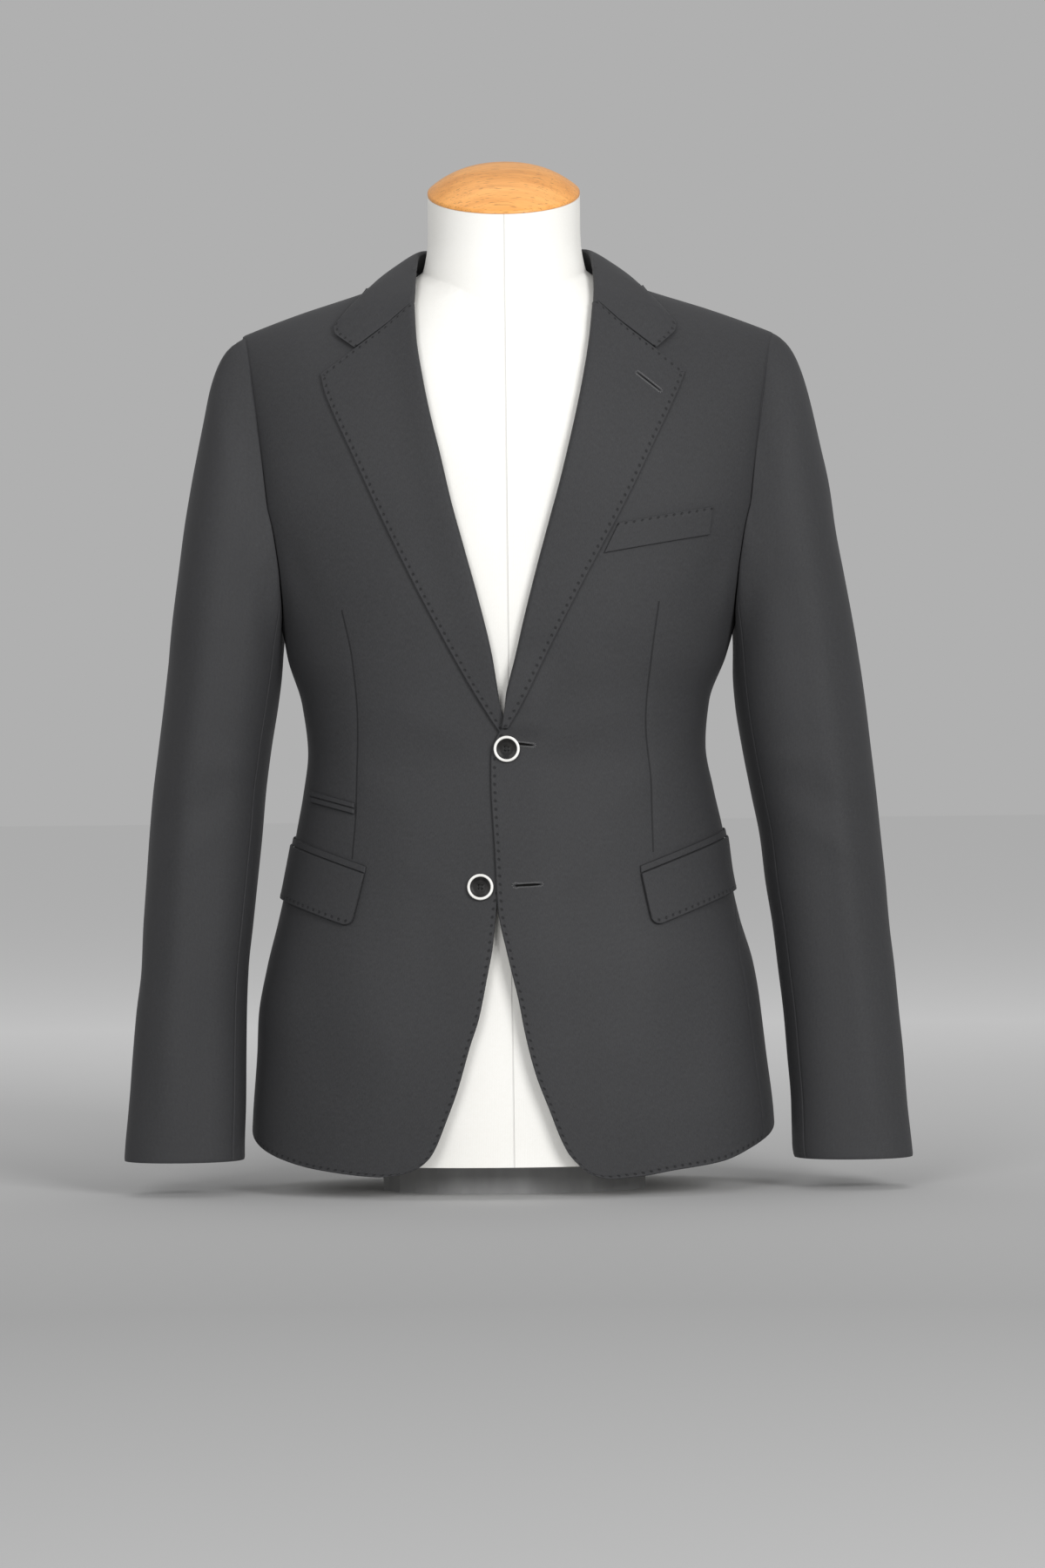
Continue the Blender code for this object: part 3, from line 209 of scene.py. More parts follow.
# Sleeves: height, inner and outer distance from the middle, half depth and middle of the depth
SLEEVE_RIGHT = (
    (28.5, 220.9, 319.5, 41, -36), (40, 220.8, 318.7, 41.5, -35), (76, 219.6, 315.4, 44, -31),
    (112, 219.2, 312.8, 46.5, -27), (148, 218.6, 309.5, 49, -23), (184, 217, 304.8, 51.5, -19.5),
    (220, 213, 303.0, 54, -16), (256, 209, 300.4, 56.5, -13), (292, 205, 297.8, 59, -10.5),
    (328, 201.7, 294.5, 61.5, -8), (364, 196.9, 289.8, 64, -6), (400, 190.8, 285, 66, -5),
    (437, 185.5, 280.4, 67, -4), (473, 183, 276.3, 68, -3.5), (509, 181, 271.6, 68, -3),
    (545, 180, 266.9, 67, -2.5), (581, 181, 260.7, 64, -2), (612, 184, 254.5, 59, -1.5),
    (640, 189, 248.8, 51, -1), (663, 194, 244.6, 43, -0.5), (680, 200, 240.8, 35, 0),
    (690, 206, 237.0, 28, 0), (697, 212, 231.5, 20, 0), (703, 218, 222.5, 9, 0),
)
SLEEVE_LEFT = (
    (25.5, 229.0, 326.5, 41, -36), (35, 227.8, 325.7, 41.5, -35), (71, 227.4, 322.5, 44, -31),
    (107, 225, 320.7, 46.5, -27), (143, 222.5, 317.5, 49, -23), (179, 218.6, 314.3, 51.5, -19.5),
    (215, 214.7, 310.4, 54, -16), (251, 209.3, 308.0, 56.5, -13), (287, 205.4, 304.8, 59, -10.5),
    (323, 198.6, 301.6, 61.5, -8), (360, 191.8, 297.7, 64, -6), (396, 186.4, 293.8, 66, -5),
    (431, 183.6, 289.1, 67, -4), (467, 182.5, 283.1, 68, -3.5), (503, 181, 277.0, 68, -3),
    (539, 180, 270.9, 67, -2.5), (575, 181, 266.3, 64, -2), (611, 184, 258.8, 59, -1.5),
    (640, 189, 252.6, 51, -1), (660, 194, 248.0, 43, -0.5), (677, 200, 243.4, 35, 0),
    (688, 206, 239.0, 28, 0), (697, 213, 232.5, 20, 0), (703, 219, 224.5, 9, 0),
)
SLEEVE_POWER = 2.2
HEAD_FADE = 30.0
ARMPIT_STAND_OFF = 0.5
ARMHOLE_CENTRE = (205.0, 0.0, 590.0)
SLEEVE_SEAM_FRONT = 3
SLEEVE_SEAM_BACK = 20
RING_STEPS = 24

# Pockets on the fronts
FLAP_HEIGHT = 44.0
FLAP_CORNER = 10.0
FLAP_END_ANGLE = 97.0
FLAP_STAND_OFF = 0.8
JET_HEIGHT = 6.0
FLAP_LEFT = {"start": 104.3, "top": 260.1, "slope": 0.367, "slant": 3.0}
FLAP_RIGHT = {"start": 117.3, "top": 262.1, "slope": 0.338, "slant": 4.0}
TICKET = {"start": 125.6, "end": 163.0, "top": 319.4, "slope": 0.27, "height": 4.8}
WELT = {"start": 89.5, "foot_start": 77.5, "end": 166.0, "top": 542.0, "slope": 0.176, "height": 22.0}

# Grids of the shells: lines, and the millimetres that they are spread over, on each axis
FRONT_GRID = ((215, 730), (80, 200))
SIDE_GRID = ((130, 410), (28, 70))
BACK_GRID = ((215, 700), (80, SHOULDER_END))
LAPEL_GRID = ((165, 330), (46, 75))
COLLAR_GRID = ((90, 190), (26, 60))
STAND_GRID = (12, 30)
SLEEVE_GRID = (160, 600)
FLAP_GRID = ((28, FLAP_HEIGHT), (66, 100))
WELT_GRID = ((26, WELT["height"]), (80, 85))
TOP_SLEEVE_WIDTH = 240
UNDER_SLEEVE_WIDTH = 110
SLEEVE_LINES = 0.5

# Dress form
FORM_BOTTOM = 25.0
FORM_CLEARANCE = ((0, 13.0), (180, 11.0), (362, 5.0), (500, 3.6), (600, 4.0), (640, 3.8),
                  (652, 3.1), (660, 2.0))
FORM_TUCK = 38.0
FORM_TUCK_TOP = 66.0
FORM_LIMIT = 58.0
PLATE_FROM = 466.0
PLATE_TO = 508.0
PLATE_BULGE = 5.0
NECK_RADIUS = 63.0
NECK_RINGS = ((700.0, 80.0), (742.0, 71.0), (752.0, 68.8), (764.0, 65.6), (778.0, 63.5), (790.0, 63.0))
NECK_TOP = 820.0
NECK_TILT = 0.371
CAP_EDGE = 3.0
CAP_DOME = 20.0


def read(table, place):
    """The columns of a table at places in its first column, smooth and without overshoot."""
    table = np.asarray(table, float)
    heads, rows = table[:, 0], table[:, 1:]
    place = np.clip(np.asarray(place, float), heads[0], heads[-1])
    gaps = np.diff(heads)
    rises = np.diff(rows, axis=0) / gaps[:, None]
    slopes = np.empty_like(rows)
    slopes[0], slopes[-1] = rises[0], rises[-1]
    agree = rises[:-1] * rises[1:] > 0
    total = np.where(agree, rises[:-1] + rises[1:], 1.0)
    slopes[1:-1] = np.where(agree, 2 * rises[:-1] * rises[1:] / total, 0.0)
    low = np.clip(np.searchsorted(heads, place, side="right") - 1, 0, len(heads) - 2)
    step = gaps[low][..., None]
    part = (place - heads[low])[..., None] / step
    rest = 1 - part
    return (rows[low] * (1 + 2 * part) * rest ** 2 + rows[low + 1] * part ** 2 * (3 - 2 * part)
            + step * (slopes[low] * part * rest ** 2 - slopes[low + 1] * part ** 2 * rest))


def column(table, place):
    """The second column of a two-column table."""
    return read(table, place)[..., 0]


def ease(value, start, end):
    """0 at start and 1 at end, with soft ends."""
    part = np.clip((np.asarray(value, float) - start) / (end - start), 0, 1)
    return part * part * (3 - 2 * part)


def unit(vectors):
    """The same directions with length 1."""
    lengths = np.linalg.norm(vectors, axis=-1, keepdims=True)
    return vectors / np.maximum(lengths, 1e-9)


def ridge_height(x):
    return column(RIDGE, np.abs(x))


def body(angle, level):
    """Points of the cloth's outer surface at angles round the body and levels."""
    angle, level = np.broadcast_arrays(np.asarray(angle, float), np.asarray(level, float))
    middle, half_width, front, back, power = np.moveaxis(read(BODY, level), -1, 0)
    side = np.sin(np.radians(angle))
    ahead = np.cos(np.radians(angle))
    reach = (np.abs(side) ** power + np.abs(ahead) ** power) ** (-1 / power)
    x = middle + half_width * side * reach
    y = -np.where(ahead > 0, front, back) * ahead * reach
    turn = np.pi / 2 * np.clip((level - CHEST_LEVEL) / (RIDGE_LEVEL - CHEST_LEVEL), 0, 1)
    high = CHEST_LEVEL + (ridge_height(x) - CHEST_LEVEL) * np.sin(turn)
    return np.stack([x, y * np.cos(turn), np.where(level > CHEST_LEVEL, high, level)], axis=-1)


def body_normal(angle, level):
    """Outward directions of the body surface."""
    angle, level = np.broadcast_arrays(np.asarray(angle, float), np.asarray(level, float))
    aside = body(angle + 0.25, level) - body(angle - 0.25, level)
    up = body(angle, np.minimum(level + 0.5, RIDGE_LEVEL)) - body(angle, level - 0.5)
    flat = np.zeros_like(up)
    flat[..., 1] = np.sign(np.cos(np.radians(angle)))
    up = np.where((level > RIDGE_LEVEL - 0.5)[..., None], flat, up)
    return unit(np.cross(aside, up))


def level_at(x, z):
    """Level of the body surface at distances from the middle and heights."""
    rise = np.clip((z - CHEST_LEVEL) / (ridge_height(x) - CHEST_LEVEL), -1, 1)
    high = CHEST_LEVEL + (RIDGE_LEVEL - CHEST_LEVEL) * np.arcsin(rise) / (np.pi / 2)
    return np.where(np.asarray(z) > CHEST_LEVEL, high, z)


def across(x, level):
    """Angle from the front of the body surface at x on a level, without its sign."""
    values = read(BODY, level)
    middle, half_width, power = values[..., 0], values[..., 1], values[..., 4]
    reach = np.minimum(0.9999, np.abs(x - middle) / half_width)
    return np.degrees(np.arctan2(reach, (1 - reach ** power) ** (1 / power)))


def spot(x, z, back=False):
    """Angles and levels of the body surface, seen from the front or the back, at x and z."""
    level = level_at(x, z)
    angle = across(x, level)
    angle = np.where(back, 180 - angle, angle)
    return np.copysign(angle, x - read(BODY, level)[..., 0]), level


def front_lift(x, z):
    """How far the wearer's left front stands off to pass over the right one."""
    lap = OVER * ease(z, *OVERLAP_LOW) * (1 - ease(z, *OVERLAP_HIGH)) * (1 - ease(x, *OVERLAP_SIDE))
    under = ease(z, *PASS_LOW) * (1 - ease(z, *PASS_HIGH)) * (1 - ease(np.abs(x), *PASS_SIDE))
    return lap + PASS_LIFT * under


def gap_angle(angle, level, gap):
    """The angle that a gap in millimetres takes up at places on the body."""
    step = np.linalg.norm(body(angle + 0.25, level) - body(angle - 0.25, level), axis=-1)
    return gap / step / 2


def hem_height(side, angle):
    front = column(HEM_LEFT if side > 0 else HEM_RIGHT, angle)
    return np.where(np.asarray(angle) > 90, column(HEM_BACK, angle), front)


def by_index(values, place):
    """Values of a list at fractional places in it."""
    return column([(index, value) for index, value in enumerate(values)], place)


def ring_place(step, back=False):
    """Angle, level and sleeve turn round the armhole; 0 is under the arm, 12 on the shoulder."""
    top = len(ARMHOLE) - 1
    front_side = [(index, row[0], row[2], -row[3]) for index, row in enumerate(ARMHOLE)]
    front_side = [(-index, ARMHOLE[index][1], ARMHOLE[index][2], ARMHOLE[index][3] - 360)
                  for index in (5, 4, 3, 2, 1)] + front_side
    back_side = [(RING_STEPS - index, row[1], row[2], row[3]) for index, row in enumerate(ARMHOLE)][::-1]
    back_side += [(RING_STEPS + index, ARMHOLE[index][0], ARMHOLE[index][2], 360 - ARMHOLE[index][3])
                  for index in (1, 2, 3, 4, 5)]
    behind = (step > top) | ((step >= top) & back)
    values = np.where(np.asarray(behind)[..., None], read(back_side, step), read(front_side, step))
    return values[..., 0], values[..., 1], values[..., 2]


def lines(count, size, edge=(0.0, 0.25, 0.7, 1.3, 2.2, 3.4)):
    """Shares from 0 to 1 for grid lines, closer together near both ends of a size."""
    near = np.array(edge) / size
    inner = np.linspace(near[-1], 1 - near[-1], count)
    return np.concatenate([near[:-1], inner, 1 - near[-2::-1]])


def coons(left, right, bottom, top, rows, shares):
    """A four-sided field of angles and levels, blended from its four edges."""
    rise = (rows / rows[-1])[:, None, None]
    share = shares[None, :, None]
    left, right = np.stack(left, -1)[:, None], np.stack(right, -1)[:, None]
    bottom, top = np.stack(bottom, -1)[None], np.stack(top, -1)[None]
    level = (1 - share) * left + share * right
    low = bottom - (1 - share) * left[:1] - share * right[:1]
    high = top - (1 - share) * left[-1:] - share * right[-1:]
    field = level + (1 - rise) * low + rise * high
    return field[..., 0], field[..., 1]


def runs(points, axis):
    """Lengths from the first grid line along an axis."""
    steps = np.linalg.norm(np.diff(points, axis=axis), axis=-1)
    zero = np.zeros_like(np.take(steps, [0], axis=axis))
    return np.cumsum(np.concatenate([zero, steps], axis=axis), axis=axis)


def grid_normals(points, like):
    """Directions square to a grid of points, on the same side as the given ones."""
    normals = unit(np.cross(np.gradient(points, axis=0), np.gradient(points, axis=1)))
    facing = np.sum(normals * like, axis=-1, keepdims=True)
    return np.where(facing < 0, -normals, normals)


def round_off(distance, radius):
    """Drop of a rounded edge at distances in from it."""
    near = np.clip(radius - distance, 0, radius)
    return radius - np.sqrt(radius ** 2 - near ** 2)


def add_object(name, data):
    """A new object in the scene."""
    thing = bpy.data.objects.new(name, data)
    bpy.context.scene.collection.objects.link(thing)
    return thing


def face_outwards(mesh, merge=0.0):
    """Turn a mesh's faces outwards, after making one point of any nearer than merge."""
    shape = bmesh.new()
    shape.from_mesh(mesh)
    if merge:
        bmesh.ops.remove_doubles(shape, verts=shape.verts, dist=merge)
    bmesh.ops.recalc_face_normals(shape, faces=shape.faces)
    shape.to_mesh(mesh)
    shape.free()


def shell(name, points, normals, wall, free="", sewn="", charts=None):
    """A closed wall under a grid of points, with rounded free edges and dipped seams.

    free and sewn name the edges: s and e for the first and last row, l and r for the columns."""
    distance = {"s": runs(points, 0), "l": runs(points, 1)}
    distance["e"] = distance["s"][-1:] - distance["s"]
    distance["r"] = distance["l"][:, -1:] - distance["l"]
    drop = np.zeros(points.shape[:2])
    rise = np.zeros(points.shape[:2])
    for edge in free:
        curve = round_off(distance[edge], wall * 0.47)
        drop = np.maximum(drop, curve)
        rise = np.maximum(rise, curve)
    for edge in sewn:
        drop = np.maximum(drop, SEAM_DIP * (1 - ease(distance[edge], 0, SEAM_WIDTH)))
    outer = points - normals * drop[..., None]
    inner = points - normals * (wall - rise)[..., None]
    rows, columns = points.shape[:2]
    count = rows * columns
    index = np.arange(count).reshape(rows, columns)
    corners = [index[:-1, :-1], index[:-1, 1:], index[1:, 1:], index[1:, :-1]]
    quads = [np.stack(corners, -1).reshape(-1, 4)]
    quads.append(quads[0][:, ::-1] + count)
    rim = np.concatenate([index[0, :-1], index[:-1, -1], index[-1, :0:-1], index[:0:-1, 0]])
    after = np.roll(rim, -1)
    quads.append(np.stack([after, rim, rim + count, after + count], -1))
    quads = np.concatenate(quads)
    verts = np.concatenate([outer.reshape(-1, 3), inner.reshape(-1, 3)])
    corner = verts[quads]
    volume = np.sum(corner[:, 0] * np.cross(corner[:, 1], corner[:, 2])
                    + corner[:, 0] * np.cross(corner[:, 2], corner[:, 3]))
    if volume < 0:
        quads = quads[:, ::-1]
    mesh = bpy.data.meshes.new(name)
    mesh.vertices.add(len(verts))
    mesh.vertices.foreach_set("co", (verts * MM).astype(np.float32).ravel())
    mesh.loops.add(quads.size)
    mesh.loops.foreach_set("vertex_index", quads.astype(np.int32).ravel())
    mesh.polygons.add(len(quads))
    mesh.polygons.foreach_set("loop_start", np.arange(0, quads.size, 4, dtype=np.int32))
    mesh.update(calc_edges=True)
    mesh.validate()
    middle = points.shape[1] // 2
    width = (distance["l"] - distance["l"][:, middle:middle + 1]) * MM
    height = np.broadcast_to(distance["s"][:, middle:middle + 1] * MM, width.shape)
    chart = np.stack([width, height], -1).reshape(-1, 2)
    uv = mesh.uv_layers.new(name="cloth")
    uv.data.foreach_set("uv", np.concatenate([chart, chart])[quads.ravel()].astype(np.float32).ravel())
    for key, values in (charts or {}).items():
        layer = mesh.attributes.new(key, "FLOAT", "POINT")
        flat = np.broadcast_to(values, points.shape[:2]).reshape(-1)
        layer.data.foreach_set("value", np.concatenate([flat, flat]).astype(np.float32))
    mesh.shade_smooth()
    mesh.set_sharp_from_angle(angle=math.radians(60))
    return add_object(name, mesh)


def side_name(side):
    return "left" if side > 0 else "right"


def segment_distance(x, z, start, end):
    """Distances to a segment, and shares along it."""
    along = np.array(end, float) - np.array(start, float)
    share = ((x - start[0]) * along[0] + (z - start[1]) * along[1]) / along.dot(along)
    held = np.clip(share, 0, 1)
    return np.hypot(x - start[0] - held * along[0], z - start[1] - held * along[1]), held


def creases(x, z, table):
    """Sum of soft troughs and ridges: start, end, width and height, in a flat chart."""
    total = np.zeros_like(x)
    for start, end, width, height in table:
        distance, share = segment_distance(x, z, start, end)
        along = np.sin(np.pi * np.clip(share, 0.02, 0.98)) ** 0.7
        total += height * np.exp(-(distance / width) ** 2) * along
    return total


BUTTON_CALM = 20.0
DARTS = {
    1: ((121.9, 479), (115.1, 430), (110.5, 381), (114.2, 332), (115.1, 277)),
    -1: ((-134.5, 475), (-126.6, 433), (-123.2, 384), (-125.3, 313), (-128.5, 274)),
}
FRONT_CREASES = {
    1: (
        ((10, 362), (95, 392), 14, 0.9), ((6, 350), (120, 345), 16, -0.8),
        ((70, 300), (150, 372), 13, 0.7), ((60, 470), (120, 400), 16, -0.7),
        ((150, 470), (185, 540), 12, -1.1), ((168, 455), (196, 520), 9, 1.2),
        ((90, 90), (118, 210), 22, 1.3), ((140, 60), (160, 200), 20, -1.2),
        ((40, 120), (62, 260), 18, -0.8), ((130, 560), (185, 640), 22, -1.2),
        ((100, 720), (180, 690), 15, 0.7), ((20, 240), (90, 285), 12, 0.6),
    ),
    -1: (
        ((-20, 362), (-100, 396), 14, 0.9), ((-24, 348), (-118, 338), 16, -0.8),
        ((-70, 300), (-150, 368), 13, 0.6), ((-66, 468), (-120, 402), 16, -0.7),
        ((-150, 468), (-186, 536), 12, -1.2), ((-170, 452), (-196, 516), 9, 1.1),
        ((-96, 84), (-122, 206), 22, 1.3), ((-148, 66), (-166, 196), 20, -1.1),
        ((-52, 130), (-70, 250), 18, -0.8), ((-130, 566), (-186, 640), 22, -1.2),
        ((-100, 722), (-180, 692), 15, 0.7), ((-34, 236), (-96, 280), 12, 0.6),
    ),
}
BACK_CREASES = (
    ((70, 690), (150, 640), 20, -0.9), ((95, 660), (178, 560), 24, 1.3),
    ((130, 600), (190, 500), 18, -1.2), ((10, 470), (110, 395), 20, -0.9),
    ((8, 400), (120, 368), 15, 0.9), ((14, 352), (112, 330), 14, -0.8),
    ((40, 300), (60, 110), 26, 1.5), ((92, 250), (112, 80), 22, -1.4),
    ((140, 240), (150, 90), 18, 1.1), ((12, 700), (60, 560), 26, -0.8),
)


def at_inset(distance, values, inset):
    """Values of each grid row where its distance from the first column reaches an inset."""
    after = np.maximum(1, np.argmax(distance >= inset, axis=1))
    row = np.arange(len(distance))
    low, high = distance[row, after - 1], distance[row, after]
    share = ((inset - low) / (high - low))[:, None]
    return values[row, after - 1] * (1 - share) + values[row, after] * share


def edge_stitches(points, normals, inside, along, clear, inset=STITCH_INSET):
    """Places, normals and directions of the stitches along the first column's edge."""
    values = at_inset(inside, np.concatenate([points, normals, clear[..., None]], axis=-1), inset)
    kept = values[:, 6] >= inset
    lengths, values = along[kept], values[kept]
    first, last = lengths.min() // STITCH_PITCH + 1, lengths.max() // STITCH_PITCH + 1
    marks = np.arange(first, last) * STITCH_PITCH
    marks = marks[marks < lengths.max() - 1]
    place = np.stack([np.interp(marks, lengths, part) for part in values.T[:6]], -1)
    ahead = np.stack([np.interp(marks + 0.5, lengths, part) for part in values.T[:3]], -1)
    return place[:, :3], unit(place[:, 3:]), unit(ahead - place[:, :3])


def bead():
    """Points and faces of one short rounded thread, about its own middle."""
    around = np.radians(np.arange(0, 360, 60))
    rings = [np.column_stack([np.full(6, along), wide * np.cos(around), wide * np.sin(around)])
             for along, wide in ((-0.62, 0.72), (0.0, 1.0), (0.62, 0.72))]
    points = np.concatenate([[(-1, 0, 0)], *rings, [(1, 0, 0)]])
    faces = []
    for step in range(6):
        after = (step + 1) % 6
        faces.append((0, 1 + after, 1 + step, 1 + step))
        for ring in (1, 7):
            faces.append((ring + step, ring + after, ring + 6 + after, ring + 6 + step))
        faces.append((13 + step, 13 + after, 19, 19))
    return points, faces


def stitch_mesh(name, groups, size=STITCH_SIZE, sink=0.12):
    """Short threads at places on the cloth, as one mesh."""
    places, normals, directions = (np.concatenate(part) for part in zip(*groups))
    beside = unit(np.cross(normals, directions))
    shape, faces = bead()
    along, wide, high = size
    points = (places - normals * sink)[:, None] + (directions[:, None] * (shape[:, :1] * along / 2)
                                                  + beside[:, None] * (shape[:, 1:2] * wide)
                                                  + normals[:, None] * (shape[:, 2:] * high))
    mesh = bpy.data.meshes.new(name)
    count = len(shape)
    everything = [[count * number + v for v in dict.fromkeys(face)]
                  for number in range(len(places)) for face in faces]
    mesh.from_pydata((points.reshape(-1, 3) * MM).tolist(), [], everything)
    face_outwards(mesh)
    mesh.shade_smooth()
    return add_object(name, mesh)


def make_front(side):
    """One forepart, from its rounded quarter up to the shoulder seam."""
    edge_table = EDGE_LEFT if side > 0 else EDGE_RIGHT
    rows = lines(*FRONT_GRID[0]) * len(EDGE_ROWS)
    shares = lines(*FRONT_GRID[1])
    heights = by_index((edge_table[0][0],) + EDGE_ROWS, rows)
    x = column(edge_table, heights) + side * EDGE_RECESS * ease(heights, *RECESS_FROM)
    left = spot(x, np.minimum(heights, ridge_height(x)))
    table = SIDE_SEAM_LEFT if side > 0 else SIDE_SEAM_RIGHT
    hem_end = float(column(table, 0))
    seam_heights = (float(hem_height(side, hem_end)),) + SEAM_ROWS + (ARMHOLE[1][2],)
    low_heights = by_index(seam_heights, np.minimum(rows, len(SEAM_ROWS) + 1))
    ring_angle, ring_level, _ = ring_place(np.maximum(rows - len(SEAM_ROWS), 1))
    upper = rows > len(SEAM_ROWS) + 1
    angle = side * np.where(upper, ring_angle, column(table, low_heights))
    level = np.where(upper, ring_level, low_heights)
    right = (angle - side * gap_angle(angle, level, SEAM / 2), level)
    bottom_angle = left[0][0] * (1 - shares) + right[0][0] * shares
    bottom_level = hem_height(side, np.abs(bottom_angle))
    bottom_level += (left[1][0] - bottom_level[0]) * np.clip(1 - shares / CORNER_SHARE, 0, 1) ** 2
    bottom_level += (right[1][0] - bottom_level[-1]) * shares ** 8
    top = (left[0][-1] * (1 - shares) + right[0][-1] * shares, np.full_like(shares, RIDGE_LEVEL))
    angle, level = coons(left, right, (bottom_angle, bottom_level), top, rows, shares)
    points = body(angle, level)
    normals = body_normal(angle, level)
    x, z = points[..., 0], points[..., 2]
    lift = creases(x, z, FRONT_CREASES[side])
    down, inside = runs(points, 0), runs(points, 1)
    lift *= ease(np.minimum(inside, inside[:, -1:] - inside), 2, 25)
    outer = OUTER_LEFT if side > 0 else OUTER_RIGHT
    lift *= np.where(z > outer[0][0], ease(np.abs(x) - np.abs(column(outer, z)), -4, 24), 1)
    for button in (BUTTON_UPPER, BUTTON_LOWER):
        lift *= 1 - np.exp(-((x - button[0]) ** 2 + (z - button[1]) ** 2) / BUTTON_CALM ** 2)
    # Distance across the dart: the cloth dips along it, and the worsted paints shade along it
    shade_line = x - column(sorted((height, place) for place, height in DARTS[side]), z)
    shade_line_inside = np.minimum(z - DARTS[side][-1][1], DARTS[side][0][1] - z)
    lift -= DART_DIP * np.exp(-(shade_line / 2.2) ** 2) * ease(shade_line_inside, 0, 30)
    if side > 0:
        lift += front_lift(x, z)
    points = points + normals * lift[..., None]
    points[..., 1] -= SEAM / 2 * ease(rows / rows[-1], 0.97, 1)[:, None]
    near = inside < down
    charts = {
        "shade_line_across": shade_line * MM,
        "shade_line_inside": shade_line_inside * MM,
        "stitch_in": np.minimum(inside, down) * MM,
        "stitch_along": np.where(near, down[:, :1], -inside[:1]) * MM,
    }
    name = "front_" + side_name(side)
    thing = shell(name + "_cloth", points, normals, WALL, "ls", "re", charts)
    turned = (points.transpose(1, 0, 2), normals.transpose(1, 0, 2))
    stitches = stitch_mesh(name + "_stitches", [
        edge_stitches(points, normals, inside, down[:, 0], down),
        edge_stitches(*turned, down.T, inside[0], inside.T),
    ])
    return thing, stitches, points, normals


def make_side(side):
    """The side body under the arm, with the vent's lap at the lower back edge."""
    rows = lines(*SIDE_GRID[0]) * (len(SEAM_ROWS) + 1)
    shares = lines(*SIDE_GRID[1])
    table = SIDE_SEAM_LEFT if side > 0 else SIDE_SEAM_RIGHT
    start, end = float(column(table, 0)), BACK_SEAM[0][1] + VENT_LAP
    heights = by_index((float(hem_height(side, start)),) + SEAM_ROWS + (ARMHOLE[1][2],), rows)
    left = (side * column(table, heights), heights)
    heights = by_index((float(hem_height(side, end)),) + SEAM_ROWS + (ARMHOLE[2][2],), rows)
    lap = VENT_LAP * (1 - ease(heights, VENT_FULL, VENT_TOP))
    right = (side * (column(BACK_SEAM, heights) + lap), heights)
    left = (left[0] + side * gap_angle(*left, SEAM / 2), left[1])
    right = (right[0] - side * gap_angle(*right, SEAM / 2), right[1])
    bottom_angle = left[0][0] * (1 - shares) + right[0][0] * shares
    crown = ring_place(np.interp(shares, (0, 0.35, 0.6, 0.8, 1), (1, 0, -1, -1.5, -2)))
    top = (side * crown[0], crown[1])
    bottom = (bottom_angle, hem_height(side, np.abs(bottom_angle)))
    angle, level = coons(left, right, bottom, top, rows, shares)
    points, normals = body(angle, level), body_normal(angle, level)
    near = ease(np.abs(angle), *VENT_NEAR)
    lift = VENT_LIFT * near * (1 - ease(points[..., 2], VENT_TOP, VENT_LIFT_TOP))
    points = points + normals * lift[..., None]
    return shell("side_" + side_name(side) + "_cloth", points, normals, WALL, "s", "lre")


def make_back(side):
    """One back, from the middle seam to the back seam and the armhole."""
    rows = lines(*BACK_GRID[0]) * (len(SEAM_ROWS) + len(ARMHOLE) - 2)
    turn = len(SEAM_ROWS) + 1
    neck = float(level_at(0.0, BACK_NECK[0][1]))
    low = np.minimum(rows, turn)
    high = np.clip((rows - turn) / (rows[-1] - turn), 0, 1)
    middle_heights = by_index((float(hem_height(side, 180)),) + SEAM_ROWS + (ARMHOLE[2][2],), low)
    middle_level = middle_heights + (neck - ARMHOLE[2][2]) * np.sin(np.pi / 2 * high)
    middle = (np.full_like(rows, 180.0), middle_level)
    middle = (middle[0] - gap_angle(179.0, middle[1], SEAM / 2), middle[1])
    heights = by_index((float(hem_height(side, 114)),) + SEAM_ROWS + (ARMHOLE[2][2],), low)
    ring_steps = np.minimum(RING_STEPS - 2 - (rows - turn), RING_STEPS - 2)
    ring_angle, ring_level, _ = ring_place(ring_steps, True)
    outer_angle = np.where(rows > turn, ring_angle, column(BACK_SEAM, heights))
    outer_level = np.where(rows > turn, ring_level, heights)
    outer = (outer_angle + gap_angle(outer_angle, outer_level, SEAM / 2), outer_level)
    x = SHOULDER_END * lines(*BACK_GRID[1])
    z = np.where(x < BACK_NECK[-1][0], column(BACK_NECK, x), ridge_height(x))
    top_level = level_at(x, z)
    top_angle = 180 - across(x, top_level)
    top_angle = middle[0][-1] + (top_angle - top_angle[0]) * ((outer[0][-1] - middle[0][-1])
                                                           / (top_angle[-1] - top_angle[0]))
    shares = (top_angle - top_angle[0]) / (top_angle[-1] - top_angle[0])
    bottom_angle = middle[0][0] * (1 - shares) + outer[0][0] * shares
    angle, level = coons(middle, outer, (bottom_angle, hem_height(side, bottom_angle)),
                         (top_angle, top_level), rows, shares)
    points, normals = body(side * angle, level), body_normal(side * angle, level)
    lift = creases(np.abs(points[..., 0]), points[..., 2], BACK_CREASES)
    inside, down = runs(points, 1), runs(points, 0)
    lift *= ease(np.minimum(inside, inside[:, -1:] - inside), 1, 22) * ease(down[-1:] - down, 30, 60)
    points = points + normals * lift[..., None]
    points[..., 1] += SEAM / 2 * (level > RIDGE_LEVEL - 1)
    return shell("back_" + side_name(side) + "_cloth", points, normals, WALL, "s", "lre")


def lapel_lift(side, x, z, distance):
    """Height of the lapel's face over the front, fullest along the roll."""
    fade = ease(z, 380, 470) * 0.8 + 0.2
    base = front_lift(x, z) if side > 0 else 0.0
    return base + OVER + LAPEL_PUFF * fade * np.exp(-(distance / PUFF_WIDTH) ** 2)


def surface_frame(side, x, z):
    """Points, outward normals and directions towards the opening of a front at x and z."""
    angle, level = spot(x, z)
    point = body(angle, level)
    inward = unit(body(angle - side * 0.5, level) - point)
    return point, body_normal(angle, level), inward


